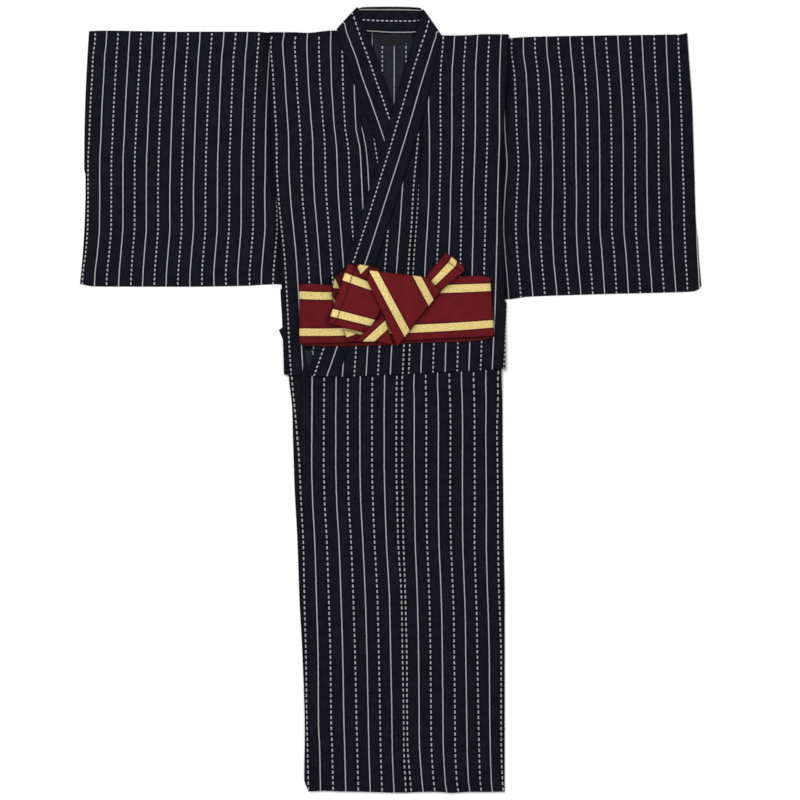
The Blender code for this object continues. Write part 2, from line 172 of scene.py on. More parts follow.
# The turns of the fold beside the neck, in degrees from the neck's band to the arm
FOLD_ANGLES = (0, 22, 45, 67, 90, 112, 135, 157, 180)

# The sleeves: the distance from the armhole to the cuff as a share, y of the top fold, y of the bottom fold
RIGHT_SLEEVE = (
    (0.0, 694, 218),
    (0.05, 697, 217.8),
    (0.12, 698, 217),
    (0.19, 698, 215),
    (0.5, 698, 213.3),
    (0.93, 700, 213.8),
    (1.0, 699, 218),
)
LEFT_SLEEVE = (
    (0.0, 684, 189),
    (0.05, 686, 189.5),
    (0.13, 688, 194),
    (0.5, 690.5, 199),
    (0.93, 692.5, 203.5),
    (0.97, 692.8, 205),
    (0.99, 694.3, 209),
    (1.0, 695.3, 214),
)
# The cuff edges: y and x. The right one steps in where its opening ends.
RIGHT_CUFF = (
    (215, -590.5),
    (250, -587),
    (274, -584.8),
    (340, -581),
    (400, -579.6),
    (428, -579.6),
    (434, -582.3),
    (490, -582),
    (558, -580.5),
    (644, -576.6),
    (701, -573),
)
LEFT_CUFF = (
    (200, 591.5),
    (226, 589.6),
    (264, 586.3),
    (302, 584.2),
    (340, 580),
    (370, 579),
    (445, 577),
    (558, 573.4),
    (644, 567.4),
    (701, 563.5),
)

# How far the shoulder line lies above its mean on each side, and the hem below its own: x and mm
SHOULDER_RIGHT_LINE = ((-230, 0), (-187, 0), (-157, -1.2), (-126, 2), (-112, 3.2), (-60, 3.2))
SHOULDER_LEFT_LINE = ((60, -2.6), (117, -2.6), (147, -1.9), (178, 0), (230, 0))
HEM_LINE = (
    (-200, 0), (-157, 0), (-126, -1.0), (-96, 0), (-50, 0.8), (-20, 1.6), (0, 2.4), (26, 2.4),
    (56, 1.2), (86, 0.8), (117, 2.9), (147, 1.1), (178, 1.0), (217, 0.5),
)
HEM_WAVES_BELOW = -690 * MM
# A corner of the back layer that shows beyond the right side: its tip's y, its foot's y and its reach
BACK_CORNER = (133 * MM, 112 * MM, 8 * MM)

# The courses of some stripes on each panel: their numbers, and rows of y and the x of each. Even numbers are
# the broken stripes and odd ones the solid stripes. All of them are moved by the same amount.
STRIPES_MOVED = 1.0
STRIPES = {
    "sleeve_right": ((0, 4, 8, 12, 16), (
        (701, -561.5, -474, -385, -294.5, -206),
        (673, -563, -476, -386.5, -296.5, -207.5),
        (652, -566, -476.5, -388, -299, -209),
        (616, -567.5, -479, -390.5, -300.5, -211.5),
        (559, -571, -482, -393, -303, -214.5),
        (502, -573, -484.5, -395, -305, -216),
        (445, -575.5, -487, -396.5, -307, -216),
        (388, -575.5, -487, -398, -307, -217.5),
        (331, -576, -487, -397.5, -307.5, -216.5),
        (274, -580.5, -491, -401.5, -311.5, -220.5),
        (236, -585.5, -493.5, -404.5, -314, -223.5),
        (213, -586.5, -494.5, -405, -313, -224),
    )),
    "sleeve_left": ((0, 4, 8, 12, 16), (
        (694, 229, 317, 407.5, 499.5, 591),
        (663, 229, 318.5, 409.5, 500.5, 592),
        (616, 234.5, 323.5, 413.5, 502.5, 594.5),
        (559, 237, 327, 417, 506, 595.5),
        (502, 239, 328, 418.5, 508, 597),
        (445, 242, 328.5, 419, 508, 600),
        (388, 239, 330, 419, 509, 603),
        (331, 237, 329.5, 419, 510.5, 603.5),
        (274, 240, 331, 424, 513, 605.5),
        (226, 244, 335.5, 427, 517, 607.5),
        (188, 247, 339, 429.5, 519.5, 609),
    )),
    "bodice_right": ((0, 4, 7), (
        (697, -224, -136, -69.5),
        (676, -228.5, -137, -70.5),
        (616, -224, -135.5, -69.8),
        (587, -222.5, -134, -69.6),
        (559, -221, -131.5, -68.6),
        (530, -219, -129.5, -67.5),
        (511, -218, -127.5, -66.2),
        (502, -217.5, -126.7, -64.3),
        (473, -217.2, -125.5, -58.8),
        (445, -217, -125, -57.1),
        (388, -214, -123, -54.5),
        (331, -208.5, -118.5, -51.5),
        (274, -202.5, -114.5, -46.5),
        (182, -197, -107.5, -39),
        (99, -193, -100.5, -31.5),
        (44, -189.5, -97, -27.5),
    )),
    "skirt_right": ((0, 4, 7), (
        (93, -192, -101, -32.5),
        (44, -188.6, -98, -29.5),
        (3, -185, -94, -25.5),
        (-40, -181, -88.5, -20),
        (-78, -177.5, -84.5, -16),
        (-116, -174.5, -82.5, -14),
        (-192, -171, -80, -12),
        (-268, -167.5, -77.5, -9),
        (-382, -166, -75, -6.5),
        (-572, -160.5, -69.5, -1),
        (-747, -156, -63.5, 5),
    )),
    "bodice_left": ((0, 4, 8), (
        (697, 57, 142.5, 232),
        (673, 56, 141, 230.5),
        (616, 50.5, 137.5, 229),
        (559, 49.5, 137.5, 228.5),
        (502, 51.5, 137, 229),
        (445, 52, 135.5, 227),
        (388, 51.5, 133.5, 225.5),
        (331, 48, 133.3, 224.3),
        (274, 43.8, 132, 223),
        (188, 39.5, 130.5, 220.5),
        (99, 35.5, 127, 217),
        (44, 33.5, 125.5, 214),
    )),
    "skirt_left": ((0, 4, 6, 8), (
        (93, 22.5, 112, 157.5, 204.5),
        (44, 21.5, 110.8, 156.8, 203.8),
        (27, 20.9, 110.7, 156.9, 202.9),
        (-2, 21.2, 112.2, 158, 203.1),
        (-59, 21, 113, 158.8, 201.2),
        (-116, 21.2, 112.6, 158.8, 202.1),
        (-192, 22.2, 112.2, 159.2, 203.1),
        (-268, 23.3, 113.6, 158.6, 203.3),
        (-344, 26.2, 116.8, 160.5, 204.4),
        (-420, 28.3, 119.3, 163, 207.2),
        (-496, 30, 120, 164.1, 209.3),
        (-572, 30.4, 121.2, 165.4, 209),
        (-648, 31.1, 121.6, 167, 209.3),
        (-724, 36.6, 124.8, 169.2, 211.6),
        (-747, 39, 128.5, 172, 213.5),
    )),
    "overlap_bodice_left": ((-4, -2, 0), (
        (568, -31.5, 13.5, 56),
        (498, -37, 8.5, 51.5),
        (445, -42, 4, 46.5),
        (390, -46.5, 0, 42),
        (331, -50.5, -5, 39),
        (274, -55, -9.5, 34.5),
        (188, -62, -16, 29.5),
        (99, -66.5, -22, 24.5),
        (44, -70, -25, 22),
    )),
    "overlap_skirt_left": ((-8, -7, -4, 0), (
        (93, -181, -149, -80, 13),
        (42, -181, -149.5, -81.5, 11),
        (-40, -181, -150, -82.5, 10),
        (-78, -177.5, -150.5, -82, 10),
        (-116, -174.5, -150.8, -82, 10),
        (-192, -171, -149, -80.5, 11.5),
        (-268, -166.9, -145, -76, 13.5),
        (-382, -164.5, -141.5, -71.5, 20),
        (-496, -161.5, -138.5, -68, 22),
        (-610, -160, -138, -65.5, 24),
        (-667, -158.5, -135.5, -64, 24.5),
        (-747, -157, -134, -62, 28.5),
    )),
    "overlap_bodice_right": ((9, 10, 11), (
        (587, -84, -60, -37),
        (540, -65, -43, -20),
        (520, -57.5, -37, -14),
        (511, -54.6, -33.5, -11),
        (490, -50, -31.6, -9),
        (473, -47.4, -29.1, -7),
        (447, -44.6, -24.9, -3),
        (397, -41.9, -20, 3),
        (188, -26, 0, 22),
        (44, -14, 10, 33),
    )),
    "overlap_skirt_right": ((9, 11), (
        (93, 5, 51),
        (-747, 45, 91),
    )),
}

# The obi's flattened loop: share of its length, y of the top edge, y of the lower edge, and the y where the
# band's own two selvedges would lie
OBI_LOOP = (
    (0.0, 216.5, 104.5, 217, 103.5),
    (0.05, 219, 105.3, 216, 103.7),
    (0.12, 217, 106, 215, 103.8),
    (0.25, 213.5, 107.4, 215, 105),
    (0.40, 218, 109, 220.5, 106.5),
    (0.58, 224, 111.5, 226.5, 109),
    (0.72, 225, 114.7, 228.8, 111.5),
    (0.855, 231.5, 117, 230.3, 115),
    (0.91, 233.5, 118.2, 230.8, 116.7),
    (0.96, 233.5, 119.2, 231.3, 118.4),
    (1.0, 230.5, 120, 231.7, 119.7),
)
OBI_LEFT_END = (-173.5, -173)
OBI_RIGHT_END = (189.5, 197.5)
# How far the back half shows below the front half: share of the loop's length, mm
OBI_BACK_DROP = (
    (0.0, 0.8), (0.04, 4.4), (0.12, 5.6), (0.25, 6.9), (0.40, 7.2), (0.50, 7.0),
    (0.56, 5.0), (0.72, 7.0), (0.855, 8.6), (0.92, 7.8), (0.97, 4.6), (1.0, 1.8),
)
# The gold stripes, as shares of the band's width
GOLD = ((0.112, 0.240), (0.733, 0.858))

# The stretches of the tied obi, from the lowest up: the height of the crown in mm, the brightness its
# painted shade leaves, and rows of x, y, level over the loop and share of the band's width, for one edge and
# then for the other
KNOT = {
    "obi_knot_behind": (0.5, 0.6, (
        (-75, 255.5, 1, 0.59, -58, 249, 1, 0.70),
        (-107, 228, 1, 0.228, -77, 216.5, 1, 0.42),
        (-109.5, 212, 1, 0.13, -81, 206, 1, 0.37),
        (-110, 211, 1, 0.33, -82, 205, 1, 0.45),
        (-111, 198, 1, 0.27, -87, 190, 1, 0.40),
        (-106, 177, 1, 0.16, -92, 173, 1, 0.30),
    )),
    "obi_knot_corner": (0.3, 0.85, (
        (-89, 131, 1, 0.10, -84, 118, 1, 0.226),
        (-77, 128, 1, 0.164, -77, 107.5, 1, 0.335),
        (-58, 121.5, 1, 0.275, -64, 110, 1, 0.353),
    )),
    "obi_end_short": (0.8, 1.0, (
        (105.5, 278.5, 1, 1.0, 138.5, 252, 1, 0.568),
        (97, 269, 1, 1.0, 140.5, 242.5, 1, 0.568),
        (67, 231.5, 1, 1.0, 98, 208, 1, 0.568),
        (48, 209, 1, 1.0, 81, 188, 1, 0.568),
    )),
    "obi_end_long": (0.8, 1.0, (
        (-80.4, 257.5, 2, -0.05, -10.5, 234, 2, -0.11),
        (-100.3, 199.5, 2, 0.475, -14, 177, 2, 0.445),
        (-118.5, 143.5, 2, 0.98, -43, 124.5, 2, 1.0),
    )),
    "obi_knot_turn": (0.6, 0.9, (
        (-65.5, 256.5, 3, 0.678, -57, 236.5, 3, 0.855),
        (-43, 253, 3, 0.841, -46.5, 227, 3, 0.98),
        (-20, 247, 3, 1.02, -35, 220.5, 3, 1.09),
    )),
    "obi_knot_under": (0.6, 1.0, (
        (-67.5, 109.7, 2.4, 0.022, -66, 108.8, 2.4, 0.038),
        (-40, 135.4, 3, 0.022, -25, 108.5, 2.8, 0.275),
        (-12.8, 160.7, 3, 0.022, 5, 102.5, 1, 0.486),
    )),
    "obi_knot_wrap": (2.6, 1.0, (
        (-39, 244, 4, 0.126, 70, 231, 2, 0.948),
        (-44.5, 226, 4, 0.004, 95, 204, 2, 1.033),
        (-12.5, 157.5, 4, -0.034, 57, 157.5, 1.7, 0.526),
        (12, 100.5, 2, -0.081, 15, 100.5, 1, -0.057),
    )),
}
# The sewn hems of the two ends: where the row of stitches starts and ends, as shares across the stretch and
# then as shares along it
KNOT_HEMS = {
    "obi_end_long": (0.197, 0.163, 0.0, 0.995),
    "obi_end_short": (0.01, 0.99, 0.337, 0.357),
}

# The label: x of its two ends, y of its top edge, and its depth at the ends and in the middle
LABEL_ENDS = (-34, 40)
LABEL_TOP = 692.5
LABEL_DEPTH = (8, 21.5)

# Creases, in mm: x and y of one end, x and y of the other, half width, height
CREASES = {
    "sleeve_right": (
        (-575, 655, -330, 640, 26, 1.2),
        (-560, 330, -300, 296, 30, 1.4),
        (-470, 560, -430, 300, 34, 0.9),
        (-330, 610, -260, 380, 30, 1.1),
        (-520, 470, -505, 250, 22, 0.8),
        (-258, 660, -236, 300, 11, 1.3),
    ),
    "sleeve_left": (
        (250, 640, 520, 668, 28, 1.2),
        (255, 470, 500, 430, 30, 1.3),
        (300, 300, 560, 262, 32, 1.2),
        (330, 610, 360, 330, 32, 1.0),
        (480, 560, 500, 300, 30, 0.9),
        (236, 640, 226, 260, 10, 1.3),
    ),
    "bodice": (
        (-206, 690, -216, 640, 10, 1.0),
        (-150, 640, -120, 380, 22, 1.1),
        (-196, 560, -186, 330, 12, 1.0),
        (-180, 270, -120, 180, 18, 0.9),
        (100, 650, 120, 420, 24, 1.2),
        (190, 620, 176, 380, 16, 1.1),
        (150, 330, 196, 230, 20, 1.0),
        (70, 560, 76, 300, 16, 0.8),
        (60, 90, 190, 84, 14, 0.6),
        (-60, 88, 40, 82, 12, 0.5),
    ),
    "skirt": (
        (-110, 10, -96, -250, 20, 1.1),
        (-30, -20, -24, -330, 22, 1.0),
        (70, 0, 66, -300, 24, 1.2),
        (170, -10, 168, -260, 18, 1.0),
        (-90, -300, -60, -560, 28, 1.2),
        (0, -380, 6, -680, 26, 0.9),
        (110, -330, 120, -620, 30, 1.2),
        (180, -420, 176, -700, 18, 0.9),
        (-130, -90, 180, -108, 34, 0.8),
        (-120, -560, 190, -590, 40, 0.8),
    ),
}


# Small tools

def level(number):
    """The middle height of a layer of the frame, counted from the one on the surface."""
    return CLOTH / 2 + number * STEP


def between(a, b, share):
    return a + (b - a) * share


def clamp(value, low=0.0, high=1.0):
    return min(max(value, low), high)


def ease(share):
    """A soft step from 0 to 1."""
    share = clamp(share)
    return share * share * (3 - 2 * share)


def closer_at_ends(i, count):
    """The share of the way at step i of a count, where the steps near both ends are shorter."""
    return 0.5 * (i / count) + 0.5 * ease(i / count)


def course(keys, values):
    """A smooth curve through the values that doesn't swing past them, as a function of the key."""
    pairs = sorted(zip(keys, values))
    keys, values = [pair[0] for pair in pairs], [pair[1] for pair in pairs]
    runs = [b - a for a, b in zip(keys, keys[1:])]
    rises = [(b - a) / run for a, b, run in zip(values, values[1:], runs)]
    slopes = [0 if a * b <= 0 else 2 * a * b / (a + b) for a, b in zip(rises, rises[1:])]
    slopes = [rises[0]] + slopes + [rises[-1]]

    def at(key):
        key = clamp(key, keys[0], keys[-1])
        i = min(max(bisect_right(keys, key) - 1, 0), len(runs) - 1)
        h = runs[i]
        t = (key - keys[i]) / h
        left = values[i] * (1 + 2 * t) + h * slopes[i] * t
        right = values[i + 1] * (3 - 2 * t) + h * slopes[i + 1] * (t - 1)
        return left * (1 - t) ** 2 + right * t * t

    return at


def straight(key, keys, values):
    """The value at a key, in a straight line between its neighbours."""
    i = min(max(bisect_right(keys, key) - 1, 0), len(keys) - 2)
    return between(values[i], values[i + 1], (key - keys[i]) / (keys[i + 1] - keys[i]))


def column(table, number, key_number=0):
    return course([row[key_number] for row in table], [row[number] for row in table])


SKIRT_COURSES = [column(SKIRT, number) for number in range(8)]
BODICE_COURSES = [column(BODICE[:-2] if number > LEFT_EDGE else BODICE, number) for number in range(8)]


def sizes_at(y, courses):
    return [y / MM if number == Y else at(y / MM) for number, at in enumerate(courses)]


def tuck_slant(x):
    """How much higher than its right end the tuck's edge is at x: it dips, then climbs to the left."""
    low, dip, high = -200 * MM, -86 * MM, 220 * MM
    if x < dip:
        return between(0, -4 * MM, max(0, (x - low) / (dip - low)))
    return between(-4 * MM, 11 * MM, min(1, (x - dip) / (high - dip)))


RIGHT_BODICE = level(1)
LEFT_BODICE = RIGHT_BODICE + 2 * ON_TOP
OVER_SLEEVE = level(1) + SLEEVE_DEPTH + STEP
RIGHT_SHOULDER_RISE = 1.1 * MM


def ramp(x, y):
    """The share of the climb from the bodice onto the tuck."""
    foot = TUCK_COVER + tuck_slant(x)
    return ease((TUCK_RAMP_TOP - y) / (TUCK_RAMP_TOP - foot))


def left_front_height(x, y):
    return between(LEFT_BODICE, level(8), ramp(x, y))


def right_front_height(x, y):
    low, high = BODICE[-2][Y] * MM, BODICE[-1][Y] * MM
    rise = clamp((y - low) / (high - low))
    return between(RIGHT_BODICE, level(5), ramp(x, y)) + RIGHT_SHOULDER_RISE * rise


def obi_height(y):
    """The middle height of the loop's back half, which leans on the tuck and on the collar."""
    resting = LEFT_BODICE + ON_TOP + BAND / 2 + GAP + OBI_CLOTH / 2
    return resting + (OBI_TOP_Y - y) * OBI_TILT


def relief(x, y, name):
    """The height of the listed creases of a panel at a point."""
    total = 0.0
    for x1, y1, x2, y2, half, height in CREASES[name]:
        along = Vector((x2 - x1, y2 - y1))
        to = Vector((x / MM - x1, y / MM - y1))
        share = to.dot(along) / along.length_squared
        near = clamp(share)
        off = (to - along * near).length
        if off < 3 * half:
            fade = math.sin(math.pi * clamp(near, 0.06, 0.94)) ** 0.7
            total += height * MM * fade * math.exp(-(off / half) ** 2)
    return total


class Pattern:
    """The number of the stripe at a point, as a fraction between stripes, from a panel's courses."""

    def __init__(self, name):
        self.numbers, rows = STRIPES[name]
        self.courses = [column(rows, i + 1) for i in range(len(self.numbers))]
        self.y, self.xs = None, None

    def at(self, x, y):
        if y != self.y:
            self.y, self.xs = y, [at(y / MM) + STRIPES_MOVED for at in self.courses]
        return straight(x / MM, self.xs, self.numbers)


def painted_shade(distance, reach, depth):
    """The brightness that painted shade leaves on the cloth beside a fold or under an edge, at a distance
    from it.
    """
    return 1 - depth * math.exp(-(distance / reach) ** 2)


def off_line(x, y, line):
    """The distance from a point to the nearest place on a line through points."""
    nearest = 1.0
    for (x1, y1), (x2, y2) in zip(line, line[1:]):
        run_x, run_y = x2 - x1, y2 - y1
        share = clamp(((x - x1) * run_x + (y - y1) * run_y) / (run_x * run_x + run_y * run_y + 1e-12))
        nearest = min(nearest, math.hypot(x - x1 - share * run_x, y - y1 - share * run_y))
    return nearest


# Meshes

def quads(rows, columns, skip=None):
    faces = []
    for r in range(rows - 1):
        for c in range(columns - 1):
            if skip and skip(r, c):
                continue
            a = r * columns + c
            faces.append((a, a + 1, a + columns + 1, a + columns))
    return faces


def grid_mesh(name, points, pattern, skip=None, flip=False):
    """A smooth mesh through a grid of points.

    A point's pattern is its place across and along the woven pattern, kept as the UV map, and how much of its
    brightness is left by painted shade, the shade of folds, seams and edges painted into the colour.
    """
    rows, columns = len(points), len(points[0])
    flat = [p for row in points for p in row]
    woven = [p for row in pattern for p in row]
    faces = quads(rows, columns, skip)
    if flip:
        faces = [face[::-1] for face in faces]
    mesh = bpy.data.meshes.new(name)
    mesh.from_pydata(flat, [], faces)
    layer = mesh.uv_layers.new(name="pattern")
    for loop in mesh.loops:
        layer.data[loop.index].uv = woven[loop.vertex_index][:2]
    # The painted shade: how much of each point's brightness is left, which darkens its colour in the
    # materials
    lit = mesh.attributes.new("painted_shade_factor", "FLOAT", "POINT")
    for value, place in zip(lit.data, woven):
        value.value = place[2]
    weld(mesh)
    mesh.shade_smooth()
    return mesh


def weld(mesh, distance=0.02 * MM):
    cage = bmesh.new()
    cage.from_mesh(mesh)
    bmesh.ops.remove_doubles(cage, verts=cage.verts, dist=distance)
    loose = [vert for vert in cage.verts if not vert.link_faces]
    bmesh.ops.delete(cage, geom=loose, context="VERTS")
    cage.to_mesh(mesh)
    cage.free()


def linked(name, data, materials=()):
    """A new object in the scene, with its finishes."""
    piece = bpy.data.objects.new(name, data)
    bpy.context.scene.collection.objects.link(piece)
    for finish in materials:
        data.materials.append(finish)
    return piece


def shell(name, points, pattern, materials, thickness=SHELL, skip=None, flip=False):
    """A thin closed shell on the grid; the second material, if there is one, is on its inner side."""
    piece = linked(name, grid_mesh(name, points, pattern, skip, flip), materials)
    wall = piece.modifiers.new("wall", "SOLIDIFY")
    wall.thickness = thickness
    wall.offset = 0.0
    wall.use_even_offset = False
    wall.use_quality_normals = True
    wall.material_offset = len(materials) - 1
    return applied(piece)


def applied(piece):
    """The piece with its modifiers made part of its mesh."""
    depsgraph = bpy.context.evaluated_depsgraph_get()
    mesh = bpy.data.meshes.new_from_object(piece.evaluated_get(depsgraph))
    mesh.name = piece.name
    piece.modifiers.clear()
    piece.data = mesh
    mesh.shade_smooth()
    mesh.set_sharp_from_angle(angle=math.radians(50))
    return piece


# The garment's cloth, from hem to shoulder

# A row of the cloth: its y, its share of the tuck's slant, its sizes, the heights of the back, right and left
# layers, those at the end of the fold that it turns about, the way along the cloth, and its place in the path
Row = namedtuple("Row", "y slant sizes heights widest length place")


def spaced(a, b, step, include_end=False):
    count = max(1, round(abs(b - a) / step))
    return [between(a, b, i / count) for i in range(count + include_end)]


def mixed(a, b, share):
    return tuple(between(p, q, share) for p, q in zip(a, b))


def garment_path():
    """Rows up the front's cloth. place is 0 on the skirt, 1 on the bodice and between them in the tuck."""
    flat = (level(0), level(1), level(2))
    under = (level(2), level(3), level(6))
    middle = (level(1), level(4), level(7))
    over = (level(0), level(5), level(8))
    bodice = (level(0), RIGHT_BODICE, LEFT_BODICE)
    top_sizes = sizes_at(TUCK_TOP, SKIRT_COURSES)
    edge_sizes = sizes_at(TUCK_EDGE, BODICE_COURSES)
    rows = []

    def add(y, slant, sizes, heights, widest, place):
        if rows:
            last = rows[-1]
            rise = heights[2] - last.heights[2]
            length = last.length + math.hypot(y - last.y, rise)
        else:
            length = 0.0
        rows.append(Row(y, slant, sizes, heights, widest, length, place))

    def half_turn(y, direction, sizes, start, widest, place):
        for angle in range(20, 180, 20):
            turn = math.radians(angle)
            rise = STEP / 2 * (1 - math.cos(turn))
            reach = direction * STEP / 2 * math.sin(turn)
            back, right, left = start
            add(y + reach, 1, sizes, (back - rise, right + rise, left + rise), widest, place)

    for y in spaced(SKIRT[0][Y] * MM, SKIRT_LIES_FLAT, 7 * MM):
        add(y, 0, sizes_at(y, SKIRT_COURSES), flat, None, 0)
    for y in spaced(SKIRT_LIES_FLAT, SKIRT_UNDER_TUCK, 4 * MM):
        share = ease((y - SKIRT_LIES_FLAT) / (SKIRT_UNDER_TUCK - SKIRT_LIES_FLAT))
        add(y, share, sizes_at(y, SKIRT_COURSES), mixed(flat, under, share), None, 0)
    for y in spaced(SKIRT_UNDER_TUCK, TUCK_TOP, 9 * MM, True):
        add(y, 1, sizes_at(y, SKIRT_COURSES), under, middle if y == TUCK_TOP else None, 0)
    half_turn(TUCK_TOP, 1, top_sizes, under, middle, 0)
    fold = TUCK_EDGE + STEP / 2 + CLOTH / 2
    for y in spaced(TUCK_TOP, fold, 9 * MM, True):
        share = (TUCK_TOP - y) / (TUCK_TOP - fold)
        add(y, 1, mixed(top_sizes, edge_sizes, share), middle, over if y == fold else None, share)
    half_turn(fold, -1, edge_sizes, middle, over, 1)
    for y in spaced(fold, TUCK_COVER, 5 * MM):
        add(y, 1, sizes_at(y, BODICE_COURSES), over, None, 1)
    for y in spaced(TUCK_COVER, TUCK_RAMP_TOP, 5 * MM):
        share = (y - TUCK_COVER) / (TUCK_RAMP_TOP - TUCK_COVER)
        heights = mixed(over, bodice, ease(share))
        add(y, 1 - share, sizes_at(y, BODICE_COURSES), heights, None, 1)
    for y in spaced(TUCK_RAMP_TOP, BODICE[-1][Y] * MM, 6 * MM, True):
        low, high = BODICE[-2][Y] * MM, BODICE[-1][Y] * MM
        rise = RIGHT_SHOULDER_RISE * clamp((y - low) / (high - low))
        heights = (bodice[0], bodice[1] + rise, bodice[2])
        add(y, 0, sizes_at(y, BODICE_COURSES), heights, None, 1)
    return rows


PATH = garment_path()
SHOULDER_LINES = {-1: column(SHOULDER_RIGHT_LINE, 1), 1: column(SHOULDER_LEFT_LINE, 1)}
HEM_COURSE = column(HEM_LINE, 1)


def row_y(x, row):
    """Where a row of the path lies at x: the tuck is aslant and the hem waves a little."""
    wave = 0.0
    if row.place == 0 and row.y < HEM_WAVES_BELOW:
        wave = HEM_COURSE(x / MM) * MM * ease((HEM_WAVES_BELOW - row.y) / (55 * MM))
    return row.y + row.slant * tuck_slant(x) - wave


def painted_tuck_shade(row):
    """Painted shade on the skirt just below the tuck's edge."""
    return painted_shade(TUCK_EDGE - row.y, 6 * MM, 0.55) if row.place == 0 and row.y < TUCK_EDGE else 1.0


def stripe_number(x, row, skirt, bodice):
    """The stripe number at x in a row of the garment's path."""
    if row.place == 0:
        return skirt.at(x, row.y)
    if row.place == 1:
        return bodice.at(x, row.y)
    return between(skirt.at(x, TUCK_TOP), bodice.at(x, TUCK_EDGE), row.place)


def dash_number(row):
    """The count of dashes along the cloth up to a row; they are longer on the skirt."""
    turn_at = next(other.length for other in PATH if other.place == 1)
    if row.length <= turn_at:
        return row.length / DASH_SKIRT
    return turn_at / DASH_SKIRT + (row.length - turn_at) / DASH_BODICE


def seam_dip(off):
    """How far the cloth is drawn down at a distance from a seam."""
    return SEAM_DEPTH * (1 - ease(off / SEAM_REACH))


def crease_height(x, row):
    """Creases show on the outer layers only, and die away towards the tuck."""
    y = row_y(x, row)
    if row.place == 0:
        return relief(x, y, "skirt") * ease((SKIRT_UNDER_TUCK - 20 * MM - y) / (40 * MM))
    if row.place == 1:
        return relief(x, y, "bodice") * ease((y - TUCK_EDGE - 6 * MM) / (30 * MM))
    return 0.0


